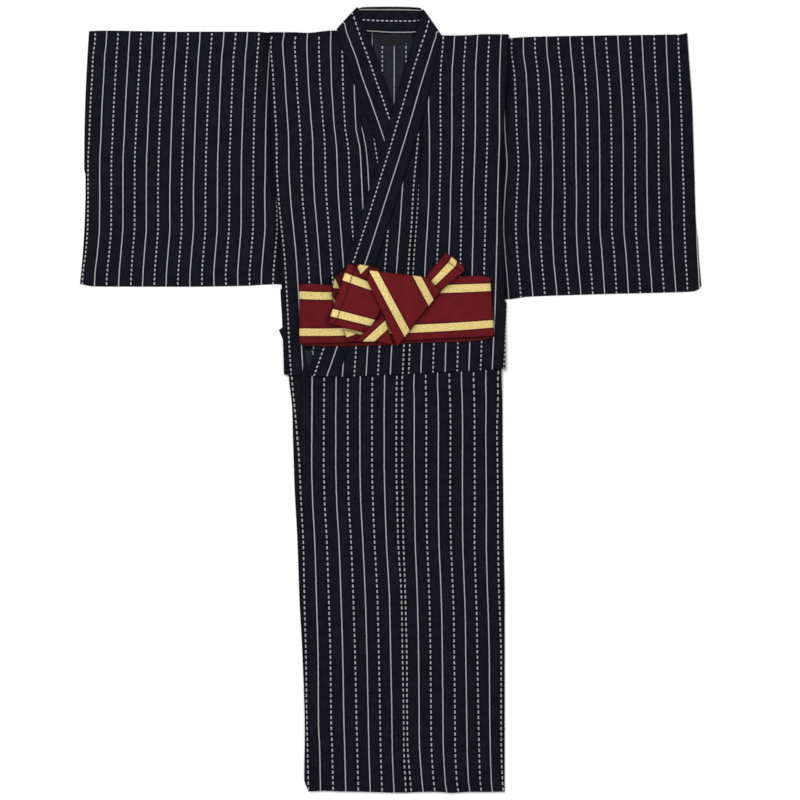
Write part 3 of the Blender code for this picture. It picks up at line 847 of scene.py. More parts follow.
def body_half(name, side, materials):
    """The front with its tuck, the round of the side and the back, in one length over the shoulder."""
    right = side < 0
    edge_column, seam_column = (RIGHT_EDGE, RIGHT_SEAM) if right else (LEFT_EDGE, LEFT_SEAM)
    shoulder = SHOULDER_RIGHT if right else SHOULDER_LEFT
    armpit = ARMPIT_RIGHT if right else ARMPIT_LEFT
    layer = 1 if right else 2
    neck_x = BODICE[-1][seam_column] * MM
    skirt = Pattern("skirt_right" if right else "skirt_left")
    bodice = Pattern("bodice_right" if right else "bodice_left")
    bend_angles = (30, 60, 90, 90, 120, 150)
    side_seam = 3
    front_count, back_count, neck_count = 34, 14, 8
    points, pattern = [], []
    # The stripe on the centre back's seam, numbered so that the stripes nearly meet over the shoulder
    beside_neck = bodice.at(neck_x, shoulder)
    middle_x = BODICE[-1][CENTRE] * MM
    inward = 1 if right else -1
    centre_number = beside_neck + inward * abs(neck_x - middle_x) / BACK_PITCH
    centre_number = 2 * round((centre_number - 1) / 2) + 1

    def add(row, turn=None):
        back, front = row.heights[0], row.heights[layer]
        opened = row.y >= armpit
        front_side = max(front, OVER_SLEEVE) if opened else front
        radius = (front_side - back) / 2
        wide = row.widest or row.heights
        wide_radius = radius if row.widest is None else (wide[layer] - wide[0]) / 2
        hinge = row.sizes[edge_column] * MM - side * (wide_radius + CLOTH / 2)
        seam = row.sizes[seam_column] * MM + side * SEAM / 2
        middle = row.sizes[CENTRE] * MM + side * SEAM / 2
        inset, slope = hinge - side * ARMHOLE_FLAT, hinge - side * ARMHOLE_SLOPE
        corner = neck_x - side * NECK_CORNER
        line, numbers = [], []
        dashes = dash_number(row)

        def front_height(x):
            share = (x - slope) / (inset - slope)
            z = between(front, front_side, ease(share))
            z += crease_height(x, row) * ease(abs(x - seam) / CREASE_CLEAR) * ease(abs(x - hinge) / (8 * MM))
            if opened:
                z -= 0.5 * MM * (1 - ease(abs(x - hinge) / (5 * MM)))
            z -= seam_dip(abs(x - seam))
            return z

        def place(x, z):
            return (x, row_y(x, row), z)

        def over_shoulder(x, z, from_front):
            reach = (z - back) / 2
            y = shoulder - CLOTH / 2 - reach * (1 - math.sin(turn))
            y += SHOULDER_LINES[side](x / MM) * MM * math.sin(turn)
            turned = reach * (1 - math.cos(turn))
            return (x, y, z - turned if from_front else back + turned)

        def back_number(x):
            off_centre = abs(x - middle)
            from_centre = centre_number - inward * off_centre / BACK_PITCH
            over = ease((off_centre - 30 * MM) / (40 * MM)) * ease((row.y - 520 * MM) / (170 * MM))
            return between(from_centre, bodice.at(x, shoulder), over)

        # Painted shade on the cloth just below the tuck's edge
        light = painted_tuck_shade(row)
        edge_number = stripe_number(hinge, row, skirt, bodice)
        tip, foot, corner_reach = BACK_CORNER
        tab = 0.0
        if right and row.place == 1 and foot < row.y < tip:
            tab = corner_reach * (row.y - foot) / (tip - foot)
        for i in range(front_count + 1):
            x = between(seam, hinge, closer_at_ends(i, front_count))
            z = front_height(x)
            line.append(place(x, z) if turn is None else over_shoulder(x, z, True))
            # Painted shade at the opened armhole's edge and beside the front seam, deeper on the left bodice
            armhole_painted_shade = painted_shade(abs(x - hinge), 4 * MM, 0.35) if opened else 1.0
            deeper_seam_shade = not right and row.place == 1
            seam_painted_shade = painted_shade(abs(x - seam), (4 if deeper_seam_shade else 2.5) * MM, 0.6 if deeper_seam_shade else 0.25)
            numbers.append((stripe_number(x, row, skirt, bodice), dashes, light * armhole_painted_shade * seam_painted_shade))
        for i, angle in enumerate(bend_angles):
            bend = math.radians(angle)
            x = hinge + side * radius * math.sin(bend)
            if angle >= 120:
                x += side * tab
            line.append(place(x, back + radius + radius * math.cos(bend)))
            if i < side_seam:
                number = edge_number + radius * bend / STRIPE_PITCH
            else:
                number = back_number(hinge) - inward * radius * (math.pi - bend) / STRIPE_PITCH
            numbers.append((number, dashes, light))
        back_line = [between(hinge, neck_x, i / back_count) for i in range(back_count + 1)]
        back_line += [corner] + [between(corner, middle, (i + 1) / neck_count) for i in range(neck_count)]
        for i, x in enumerate(back_line):
            # Painted shade on the inside of the back just below the neck band
            neck_painted_shade = painted_shade(max(0, BACK_NECK - 5 * MM - row.y), 9 * MM, 0.6) if i > back_count else 1.0
            if turn is None:
                line.append(place(x + side * tab * max(0, 1 - i / 2), back))
            elif i <= back_count:
                line.append(over_shoulder(x, front_height(x), False))
            else:
                line.append((x, between(row.y, BACK_NECK, math.sin(turn)), back))
            numbers.append((back_number(x), dashes, neck_painted_shade))
        points.append(line)
        pattern.append(numbers)

    for row in PATH:
        add(row)
    for angle in (22.5, 45, 67.5, 90):
        add(PATH[-1], math.radians(angle))
    armhole_starts = next(number for number, row in enumerate(PATH) if row.y >= armpit)
    first_bend = front_count
    last_bend = first_bend + len(bend_angles)

    def armhole(row, column_number):
        return row >= armhole_starts and first_bend <= column_number <= last_bend

    return shell(name, points, pattern, materials, skip=armhole, flip=right)


def overlap(name, side, materials):
    """The long front panel between the body's front and the front edge, with the same tuck."""
    right = side < 0
    seam_column, front_column = (RIGHT_SEAM, RIGHT_FRONT) if right else (LEFT_SEAM, LEFT_FRONT)
    layer = 1 if right else 2
    skirt = Pattern("overlap_skirt_right" if right else "overlap_skirt_left")
    bodice = Pattern("overlap_bodice_right" if right else "overlap_bodice_left")
    across = 44
    points, pattern = [], []
    for row in PATH:
        if row.y > OVERLAP_TIP:
            break
        seam = row.sizes[seam_column] * MM - side * SEAM / 2
        front = row.sizes[front_column] * MM
        line, numbers = [], []
        for i in range(across + 1):
            x = between(seam, front, closer_at_ends(i, across))
            z = row.heights[layer]
            lift = crease_height(x, row) if not right else 0.0
            z += lift * ease(abs(x - seam) / CREASE_CLEAR) * ease(abs(x - front) / (12 * MM))
            z -= seam_dip(abs(x - seam))
            line.append((x, row_y(x, row), z))
            # Painted shade below the tuck's edge and beside the seam
            light = painted_tuck_shade(row) * painted_shade(abs(x - seam), 2.5 * MM, 0.25)
            numbers.append((stripe_number(x, row, skirt, bodice), dash_number(row), light))
        points.append(line)
        pattern.append(numbers)
    return shell(name, points, pattern, materials, flip=not right)


def sleeve(name, side, materials):
    """A flattened tube from the armhole to the cuff, open at the wrist and closed below it."""
    right = side < 0
    table = RIGHT_SLEEVE if right else LEFT_SLEEVE
    armhole_edge = BODICE_COURSES[RIGHT_EDGE if right else LEFT_EDGE]
    cuff_edge = column(RIGHT_CUFF if right else LEFT_CUFF, 1)
    tops, bottoms = column(table, 1), column(table, 2)
    stripes = Pattern(name)
    radius = SLEEVE_DEPTH / 2
    shares = [i / 70 for i in range(70)] + [0.992, 0.997, 1.0]
    heights = [i / 88 for i in range(89)]
    points, pattern = [], []

    def base_of(share):
        inside = SLEEVE_INSET / abs(cuff_edge(400) - armhole_edge(400)) / MM
        return between(level(1), level(0), ease(share / inside - 0.2))

    for number, share in enumerate(shares + [1.0] * 3):
        turn = math.radians((0, 30, 60, 90)[max(0, number - len(shares) + 1)])
        top = tops(share) * MM - radius - CLOTH / 2
        bottom = bottoms(share) * MM + radius + CLOTH / 2
        base = base_of(share)
        line, numbers = [], []

        def put(height, z_share, sink=0.0):
            y = between(bottom, top, height)
            armhole = armhole_edge(y / MM) * MM
            cuff = cuff_edge(y / MM) * MM - side * (radius + CLOTH / 2)
            start = armhole - side * SLEEVE_INSET
            x = between(start, cuff, share) + side * radius * math.sin(turn)
            closed = y <= CUFF_OPENS_AT
            if closed:
                z_share = 0.5 + (z_share - 0.5) * math.cos(turn)
            reach = sink * (math.cos(turn) if closed else 1)
            z = base + SLEEVE_DEPTH * z_share
            if z_share > 0.5:
                near_edge = min(abs(x - cuff), abs(y - top), abs(y - bottom))
                lift = relief(x, y, name) + 0.7 * MM * ease(near_edge / (60 * MM))
                covered = ease((abs(x - start) - SLEEVE_INSET) / (10 * MM))
                lift *= ease(near_edge / (12 * MM)) * covered
                z += lift * (2 * z_share - 1)
            line.append((x, y + reach, z))
            along = y - reach if z_share >= 0.5 else 2 * bottom - y - 0.5 * SLEEVE_DEPTH
            # Painted shade on the sleeve's top beside the armhole, where the body's edge lies over it
            light = painted_shade(abs(x - start) - SLEEVE_INSET, 6 * MM, 0.6) if z_share > 0.5 else 1.0
            numbers.append((stripes.at(x, y), along / DASH_SLEEVE, light))

        for angle in (90, 60, 30):
            bend = math.radians(angle)
            put(1, 0.5 + 0.5 * math.cos(bend), radius * math.sin(bend))
        for height in reversed(heights):
            put(height, 1)
        for angle in (30, 60, 90, 120, 150):
            bend = math.radians(angle)
            put(0, 0.5 + 0.5 * math.cos(bend), -radius * math.sin(bend))
        for height in heights[::2]:
            put(height, 0)
        for angle in (30, 60, 90):
            bend = math.radians(angle)
            put(1, 0.5 - 0.5 * math.cos(bend), radius * math.sin(bend))
        points.append(line)
        pattern.append(numbers)
    return shell(name, points, pattern, materials, flip=right)


# The collar

def arm_line(table, step):
    """Inner and outer points down an arm of the collar, and where the stripes lie between them."""
    curves = [course(list(range(len(table))), [row[c] for row in table]) for c in range(6)]
    length = sum(math.hypot(b[0] - a[0], b[1] - a[1]) for a, b in zip(table, table[1:])) * MM
    count = round(length / step)
    lines = []
    for i in range(count + 1):
        key = (len(table) - 1) * i / count
        inner_y, inner_x, outer_y, outer_x = (curve(key) * MM for curve in curves[:4])
        lines.append(((inner_x, inner_y), (outer_x, outer_y), (curves[4](key), curves[5](key))))
    return lines


def collar_section(inner, outer):
    """A closed cross-section of the padded band: domed above, flat below, with round edges."""
    width = math.hypot(outer[0] - inner[0], outer[1] - inner[1])
    edge = BAND / 2 / width
    section = []
    for i in range(13):
        share = between(edge, 1 - edge, i / 12)
        crown = 0.35 * MM * max(0.0, math.sin(math.pi * i / 12)) ** 0.5
        section.append((share, BAND / 2 * 0.9 + crown - 0.3 * MM))

    def round_edge(start, angles):
        for angle in angles:
            bend = math.radians(angle)
            section.append((start + edge * math.sin(bend), BAND * 0.42 * math.cos(bend) - 0.02 * MM))

    round_edge(1 - edge, (45, 90, 135))
    for i in range(5):
        section.append((between(1 - edge, edge, i / 4), -BAND / 2 * 0.9))
    round_edge(edge, (225, 270, 315))
    return [(between(inner[0], outer[0], share), between(inner[1], outer[1], share), share, lift)
            for share, lift in section]


def collar(name, materials):
    """One padded band: up the right front, folded beside the neck, round the back, down the left front."""
    points, pattern = [], []
    back_height = level(0) + ON_TOP
    travelled = [0.0, None]

    def add(inner, outer, height_at, stripes, normal=None):
        """A ring of the band. normal is the way up of the band there; by default it is straight up."""
        middle = Vector(((inner[0] + outer[0]) / 2, (inner[1] + outer[1]) / 2, 0))
        if travelled[1] is not None:
            travelled[0] += (middle - travelled[1]).length
        travelled[1] = middle
        width = math.hypot(outer[0] - inner[0], outer[1] - inner[1])
        line, numbers = [], []
        for x, y, share, lift in collar_section(inner, outer):
            if normal is None:
                y += tuck_slant(x) * clamp((TUCK_RAMP_TOP - y) / (TUCK_RAMP_TOP - TUCK_COVER))
                line.append((x, y, height_at(x, y) + lift))
            else:
                base = height_at(x, y)
                line.append((x + normal[0] * lift, y + normal[1] * lift, base + normal[2] * lift))
            # Painted shade along both edges of the band
            light = painted_shade(share * width, 1.5 * MM, 0.3) * painted_shade((1 - share) * width, 1.5 * MM, 0.3)
            number = min((share - stripes[0]) / (stripes[1] - stripes[0]), 1.85)
            numbers.append((number, travelled[0] / DASH_COLLAR, light))
        line.append(line[0])
        numbers.append(numbers[0])
        points.append(line)
        pattern.append(numbers)

    def fold(sizes, front_height, angles):
        arm_stripes = sizes[4:]
        inner, outer = (sizes[1] * MM, sizes[0] * MM), (sizes[3] * MM, sizes[2] * MM)
        along = math.hypot(inner[0] - outer[0], inner[1] - outer[1])
        outward = (-(inner[1] - outer[1]) / along, (inner[0] - outer[0]) / along)
        if outward[1] < 0:
            outward = (-outward[0], -outward[1])
        radius = (front_height - back_height) / 2
        arm_first = angles[0] == 180
        for angle in angles:
            bend = math.radians(angle)
            push = radius * (math.sin(bend) - 1) - BAND / 2 + NECK_FOLD_BULGE * math.sin(bend)
            z = back_height + radius - radius * math.cos(bend)
            moved = [(x + outward[0] * push, y + outward[1] * push) for x, y in (inner, outer)]
            normal = (outward[0] * math.sin(bend), outward[1] * math.sin(bend), -math.cos(bend))
            # The stripes change on the crease itself, where two rings share one place
            changes = [arm_stripes] if angle > 90 else [NECK_STRIPES]
            if angle == 90:
                changes = [arm_stripes, NECK_STRIPES] if arm_first else [NECK_STRIPES, arm_stripes]
            for stripes in changes:
                add(*moved, lambda x, y: z, stripes, normal)

    right_top = RIGHT_BODICE + RIGHT_SHOULDER_RISE + ON_TOP
    left_top = LEFT_BODICE + ON_TOP
    for inner, outer, stripes in arm_line(RIGHT_ARM, 6 * MM):
        add(inner, outer, lambda x, y: right_front_height(x, y) + ON_TOP, stripes)
    fold(RIGHT_ARM_FOLD, right_top, FOLD_ANGLES[::-1])
    neck = [course([row[0] for row in NECK_BAND], [row[c] for row in NECK_BAND]) for c in range(4)]
    for i in range(25):
        key = between(NECK_BAND[0][0], NECK_BAND[-1][0], i / 24)
        top_x, top_y, low_x, low_y = (curve(key) * MM for curve in neck)
        add((top_x, top_y), (low_x, low_y), lambda x, y: back_height, NECK_STRIPES, (0, 0, -1))
    fold(LEFT_ARM_FOLD, left_top, FOLD_ANGLES)
    for inner, outer, stripes in reversed(arm_line(LEFT_ARM, 6 * MM)):
        add(inner, outer, lambda x, y: left_front_height(x, y) + ON_TOP, stripes)
    return tube(name, points, pattern, materials)


def tube(name, points, pattern, materials):
    """A closed tube through rings of points, its two ends capped."""
    mesh = grid_mesh(name, points, pattern)
    cage = bmesh.new()
    cage.from_mesh(mesh)
    rims = [edge for edge in cage.edges if edge.is_boundary]
    bmesh.ops.holes_fill(cage, edges=rims, sides=0)
    bmesh.ops.recalc_face_normals(cage, faces=cage.faces)
    cage.to_mesh(mesh)
    cage.free()
    mesh.shade_smooth()
    mesh.set_sharp_from_angle(angle=math.radians(70))
    return linked(name, mesh, materials)


# Label and obi

def neck_label(name, materials):
    """A bare label with a curved lower edge on the inside of the back."""
    points, pattern = [], []
    for i in range(31):
        share = i / 30
        x = between(LABEL_ENDS[0], LABEL_ENDS[1], share) * MM
        depth = between(LABEL_DEPTH[0], LABEL_DEPTH[1], math.sin(math.pi * share) ** 0.5) * MM
        line, numbers = [], []
        for j in range(9):
            down = j / 8
            puff = 0.35 * MM * math.sin(math.pi * share) * math.sin(math.pi * down)
            line.append((x, LABEL_TOP * MM - depth * down, level(1) + puff))
            numbers.append((share, down, 1.0))
        points.append(line)
        pattern.append(numbers)
    return shell(name, points, pattern, materials)


KNOT_SHARES = (0, 0.01, 0.02, 0.03) + tuple(i / 40 for i in range(2, 39)) + (0.97, 0.98, 0.99, 1)


def crown_height(crown, share):
    """How much a stretch of the band stands proud in its middle; its edges turn down."""
    return crown * MM * (1 - abs(2 * share - 1) ** 3)


def on_knot(name, along, share, lift=0.0):
    """The point of a stretch of the knot at shares along it and across it."""
    crown, _, rows = KNOT[name]
    position = along * (len(rows) - 1)
    index = min(int(position), len(rows) - 2)
    x1, y1, level1, _, x2, y2, level2, _ = mixed(rows[index], rows[index + 1], position - index)
    x, y = between(x1, x2, share) * MM, between(y1, y2, share) * MM
    z = obi_height(y) + OBI_STEP * (1 + between(level1, level2, share)) + crown_height(crown, share)
    return (x, y, z + lift)


def hem_path(name, lift=0.0, count=16):
    """The row of stitches that holds the hem of one of the obi's ends."""
    share_start, share_end, start, end = KNOT_HEMS[name]
    steps = [i / count for i in range(count + 1)]
    return [
        on_knot(name, between(start, end, step), between(share_start, share_end, step), lift)
        for step in steps
    ]


def outline(name):
    """The edge of a stretch of the knot, seen from above."""
    rows = KNOT[name][2]
    there = [(row[0] * MM, row[1] * MM) for row in rows]
    back = [(row[4] * MM, row[5] * MM) for row in reversed(rows)]
    return there + back + there[:1]


KNOT_OUTLINES = {name: outline(name) for name in KNOT}


def painted_contact_shade(x, y, above, reach, depth):
    """The brightness left on the band by painted shade beside the stretches that lie on it."""
    nearest = min((off_line(x, y, KNOT_OUTLINES[name]) for name in above), default=1.0)
    return 1 - depth * math.exp(-nearest / reach)


def obi_loop(name, materials):
    """The wound band as a flattened loop, its back half a little lower on the body and in painted shade."""
    radius = OBI_STEP / 2
    reach = radius + OBI_CLOTH / 2
    tops, lows, first, last = (column(OBI_LOOP, c) for c in (1, 2, 3, 4))
    drop = column(OBI_BACK_DROP, 1)
    points, pattern = [], []

    def put(line, numbers, share, down, front, angle=None):
        top, bottom = tops(share) * MM, lows(share) * MM
        y = between(top, bottom, down)
        left = between(*OBI_LEFT_END, down) * MM + reach
        right = between(*OBI_RIGHT_END, down) * MM - reach
        x = between(left, right, share)
        z_share = front
        if angle is not None:
            bend = math.radians(angle)
            x += (1 if share > 0.5 else -1) * radius * math.sin(bend)
            z_share = 0.5 + 0.5 * math.cos(bend)
        selvedge_top, selvedge_low = first(share) * MM, last(share) * MM
        across = (selvedge_top - y) / (selvedge_top - selvedge_low)
        y -= drop(share) * MM * (1 - z_share) * down
        line.append((x, y, obi_height(y) + OBI_STEP * z_share))
        end = min(share, 1 - share) * (right - left)
        # Painted shade on the front half at its ends and edges, beside the knot's stretches lying on it, and
        # a little towards the band's left end; the back half's strip below the front is painted dark as shade
        if z_share > 0.5:
            light = painted_shade(end, 3 * MM, 0.25) * painted_shade((1 - down) * (top - bottom), 1.6 * MM, 0.4)
            light *= painted_shade(down * (top - bottom), 1.2 * MM, 0.3)
            left_end_painted_shade = between(0.9, 1, ease((x + 130 * MM) / (60 * MM)))
            light *= painted_contact_shade(x, y, KNOT, 4.4 * MM, 0.8) * left_end_painted_shade
        else:
            light = between(0.16, 0.62, ease((bottom - 0.8 * MM - y) / (3.5 * MM)))
        numbers.append((across, share * 0.37 if z_share >= 0.5 else 0.74 - share * 0.37, light))

    shares = [i / 180 for i in range(181)]
    for down in (0, 0.01, 0.02) + tuple(i / 56 for i in range(2, 55)) + (0.97, 0.98, 0.99, 1):
        line, numbers = [], []
        for angle in (90, 60, 30):
            put(line, numbers, 0, down, 0.5, angle)
        for share in shares:
            put(line, numbers, share, down, 1)
        for angle in (30, 60, 90, 120, 150):
            put(line, numbers, 1, down, 0.5, angle)
        for share in reversed(shares):
            put(line, numbers, share, down, 0)
        for angle in (150, 120, 90):
            put(line, numbers, 0, down, 0.5, angle)
        points.append(line)
        pattern.append(numbers)
    return shell(name, points, pattern, materials, thickness=OBI_SHELL, flip=True)


def knot_piece(name, materials):
    """One stretch of the tied band, ruled between its two edges and crowned across."""
    crown, bright, rows = KNOT[name]
    above = list(KNOT)[list(KNOT).index(name) + 1:]
    hem = [point[:2] for point in hem_path(name)] if name in KNOT_HEMS else None
    lengths = [math.hypot(b[0] - a[0], b[1] - a[1]) for a, b in zip(rows, rows[1:])]
    points, pattern = [], []
    for index, length in enumerate(lengths):
        steps = max(2, round(length / 2.2))
        for i in range(steps + (index == len(lengths) - 1)):
            row = mixed(rows[index], rows[index + 1], i / steps)
            along = (index + i / steps) / len(lengths)
            number1, number2 = row[3], row[7]
            line, numbers = [], []
            for share in KNOT_SHARES:
                x, y, z = on_knot(name, along, share)
                # Painted shade: each stretch's own darkening, painted shade beside the stretches above it,
                # along its own edges and along the hem's row of stitches
                light = bright * painted_contact_shade(x, y, above, 3.4 * MM, 0.68)
                light *= painted_shade(off_line(x, y, KNOT_OUTLINES[name]), 1.5 * MM, 0.55)
                if hem:
                    light *= painted_shade(off_line(x, y, hem), 2.2 * MM, 0.4)
                line.append((x, y, z))
                numbers.append((between(number1, number2, share), y, light))
            points.append(line)
            pattern.append(numbers)
    return shell(name, points, pattern, materials, thickness=OBI_SHELL)


# Materials

class Nodes:
    """Short words for building a tree of nodes."""

    def __init__(self, tree):
        self.tree = tree

    def feed(self, socket, value):
        if isinstance(value, bpy.types.NodeSocket):
            self.tree.links.new(value, socket)
        else:
            socket.default_value = value

    def node(self, kind, inputs=None, **settings):
        """A node with its settings, and with the given inputs linked or set."""
        made = self.tree.nodes.new(kind)
        for key, value in settings.items():
            setattr(made, key, value)
        for key, value in (inputs or {}).items():
            self.feed(made.inputs[key], value)
        return made


class Wiring(Nodes):
    """The nodes of a material."""

    def __init__(self, name):
        self.material = bpy.data.materials.new(name)
        self.material.use_nodes = True
        super().__init__(self.material.node_tree)
        self.shader = self.tree.nodes["Principled BSDF"]

    def math(self, operation, a, b=0.0, clamped=False):
        made = self.node("ShaderNodeMath", {0: a, 1: b}, operation=operation, use_clamp=clamped)
        return made.outputs[0]

    def plus(self, a, b, clamped=False):
        return self.math("ADD", a, b, clamped)

    def minus(self, a, b, clamped=False):
        return self.math("SUBTRACT", a, b, clamped)

    def times(self, a, b, clamped=False):
        return self.math("MULTIPLY", a, b, clamped)

    def step(self, value, low, high, start=0.0, end=1.0):
        """A soft step of the value between low and high."""
        inputs = {"Value": value, "From Min": low, "From Max": high, "To Min": start, "To Max": end}
        return self.node("ShaderNodeMapRange", inputs, interpolation_type="SMOOTHSTEP").outputs[0]

    def mix(self, share, a, b):
        return self.node("ShaderNodeMix", {0: share, 6: a, 7: b}, data_type="RGBA").outputs[2]

    def noise(self, scale, detail=2.0, stretch=(1, 1, 1)):
        where = self.node("ShaderNodeTexCoord").outputs["Object"]
        spread = self.node("ShaderNodeMapping", {"Vector": where, "Scale": stretch}).outputs[0]
        inputs = {"Vector": spread, "Scale": scale, "Detail": detail}
        return self.node("ShaderNodeTexNoise", inputs).outputs["Fac"]

    def pattern(self):
        """The place across the woven pattern, and the place along it."""
        uv = self.node("ShaderNodeUVMap", uv_map="pattern").outputs[0]
        parts = self.node("ShaderNodeSeparateXYZ", {0: uv})
        return parts.outputs[0], parts.outputs[1]

    def folded(self, colour):
        """The colour darkened by the painted shade kept at each point, of folds, seams, edges and parts lying
        on others.
        """
        light = self.node("ShaderNodeAttribute", attribute_name="painted_shade_factor").outputs["Fac"]
        return self.mix(light, (0, 0, 0, 1), colour)

    def bump(self, height, strength, distance):
        inputs = {"Strength": strength, "Distance": distance, "Height": height}
        self.feed(self.shader.inputs["Normal"], self.node("ShaderNodeBump", inputs).outputs[0])

    def set(self, **values):
        for key, value in values.items():
            self.feed(self.shader.inputs[key.replace("_", " ")], value)


def rgb(red, green, blue):
    """A linear colour from one read as eight-bit sRGB."""
    def linear(value):
        value /= 255
        return value / 12.92 if value <= 0.04045 else ((value + 0.055) / 1.055) ** 2.4
    return (linear(red), linear(green), linear(blue), 1.0)


SOLID_HALF_MM = 1.0
BROKEN_HALF_MM = 1.35
STRIPE_SOFT_MM = 0.45
DASH_SHARE = 0.56
DASH_SOFT = 0.14
TWISTS_PER_DASH = 2.4


def striped_cloth(name, dark, light, stripe, stripe_strength=1.0):
    """Near-black cloth with fine pale stripes, solid and broken by turns."""
    w = Wiring(name)
    across, along = w.pattern()
    across = w.plus(across, w.times(w.minus(w.noise(160, 2), 0.5), 0.045))
    nearest = w.math("ROUND", across)
    beside = w.times(w.minus(across, nearest), STRIPE_PITCH / MM)
    off = w.math("ABSOLUTE", beside)
    broken = w.math("LESS_THAN", w.math("MODULO", w.math("ABSOLUTE", nearest), 2.0), 0.5)
    solid = w.minus(1.0, broken)
    half = w.plus(w.times(broken, BROKEN_HALF_MM - SOLID_HALF_MM), SOLID_HALF_MM)
    line = w.step(w.minus(off, half), -STRIPE_SOFT_MM, STRIPE_SOFT_MM, 1.0, 0.0)
    phase = w.times(w.math("ABSOLUTE", w.minus(w.math("FRACT", along), 0.5)), 2.0)
    dash = w.step(phase, DASH_SHARE - DASH_SOFT, DASH_SHARE + DASH_SOFT, 1.0, 0.0)
    lit = w.plus(w.times(broken, dash), solid, clamped=True)
    # Painted shadow: a narrow band beside each stripe is darkened almost to black
    cord_painted_shadow = w.step(w.minus(off, half), 2.0, 4.2, 1.0, 0.0)
    turns = w.plus(w.times(along, TWISTS_PER_DASH * math.tau), w.times(beside, 1.8))
    twist = w.plus(w.times(w.math("SINE", turns), 0.14), 0.88)
    uneven = w.step(w.noise(420, 1), 0.3, 0.7, 0.88, 1.08)
    mask = w.times(w.times(line, lit), w.times(twist, uneven))
    mask = w.times(mask, stripe_strength, clamped=True)
    mottle = w.step(w.noise(60, 3), 0.3, 0.72, 0.25, 0.75)
    fibre = w.step(w.noise(900, 1, (1, 0.25, 1)), 0.3, 0.7, -0.25, 0.25)
    ground = w.mix(w.plus(mottle, fibre, clamped=True), dark, light)
    # The painted shadow beside each stripe
    ground = w.mix(w.times(cord_painted_shadow, 0.4), ground, (0.001, 0.001, 0.002, 1))
    # The painted shade of folds, seams and edges darkens the cloth's colour
    colour = w.folded(w.mix(mask, ground, stripe))
    w.set(Base_Color=colour, Roughness=0.9, Specular_IOR_Level=0.05)
    weave = w.noise(1400, 2, (1, 0.5, 1))
    w.bump(w.plus(w.times(weave, 0.35), w.times(mask, 0.8)), 0.35, 0.4 * MM)
    return w.material


def label_satin(name):
    w = Wiring(name)
    ribs = w.noise(700, 1, (0.15, 1, 1))
    colour = w.mix(ribs, rgb(12, 13, 15), rgb(26, 27, 30))
    w.set(Base_Color=colour, Roughness=0.6, Specular_IOR_Level=0.1)
    w.bump(ribs, 0.25, 0.2 * MM)
    return w.material


def obi_cloth(name):
    """Firm crimson ribbed cloth with two stripes of gold yarn, a thin line of painted shade along their
    edges.
    """
    w = Wiring(name)
    across = w.pattern()[0]
    stripes, rims = [], []
    for low, high in GOLD:
        middle, half = (low + high) / 2, (high - low) / 2
        off = w.math("ABSOLUTE", w.minus(across, middle))
        stripe = w.step(off, half - 0.006, half + 0.006, 1.0, 0.0)
        stripes.append(stripe)
        rims.append(w.minus(w.step(off, half + 0.012, half + 0.03, 1.0, 0.0), stripe, clamped=True))
    gold = w.math("MAXIMUM", *stripes)
    gold_edge_shade = w.math("MAXIMUM", *rims)
    fleck = w.step(w.noise(700, 2), 0.3, 0.7)
    broad = w.step(w.noise(45, 2), 0.3, 0.7)
    weft = w.plus(w.times(fleck, 0.6), w.times(broad, 0.4))
    red = w.mix(weft, rgb(86, 17, 22), rgb(103, 24, 30))
    # Painted shade: the thin dark line along each edge of the gold stripes
    red = w.mix(w.times(gold_edge_shade, 0.75), red, rgb(38, 6, 12))
    yarn = w.mix(w.step(w.noise(520, 2), 0.32, 0.68), rgb(188, 165, 96), rgb(228, 209, 141))
    # The painted shade of the band's edges and of the knot darkens the obi's colour
    w.set(Base_Color=w.folded(w.mix(gold, red, yarn)), Roughness=w.step(gold, 0, 1, 0.8, 0.45))
    w.set(Metallic=w.times(gold, 0.25), Specular_IOR_Level=0.06)
    ribs = w.noise(1200, 1, (1, 0.3, 1))
    w.bump(w.plus(w.times(ribs, 0.5), w.times(gold, 0.6)), 0.4, 0.35 * MM)
    return w.material


def mottled(name, scale, detail, colours, roughness, gloss):
    """A plain finish between two colours."""
    w = Wiring(name)
    w.set(Base_Color=w.mix(w.noise(scale, detail), *colours), Roughness=roughness, Specular_IOR_Level=gloss)
    return w.material


# Stitches

STITCH = {"Stitch Length": 4.8 * MM, "Gap": 0.9 * MM, "Thread Radius": 0.75 * MM}


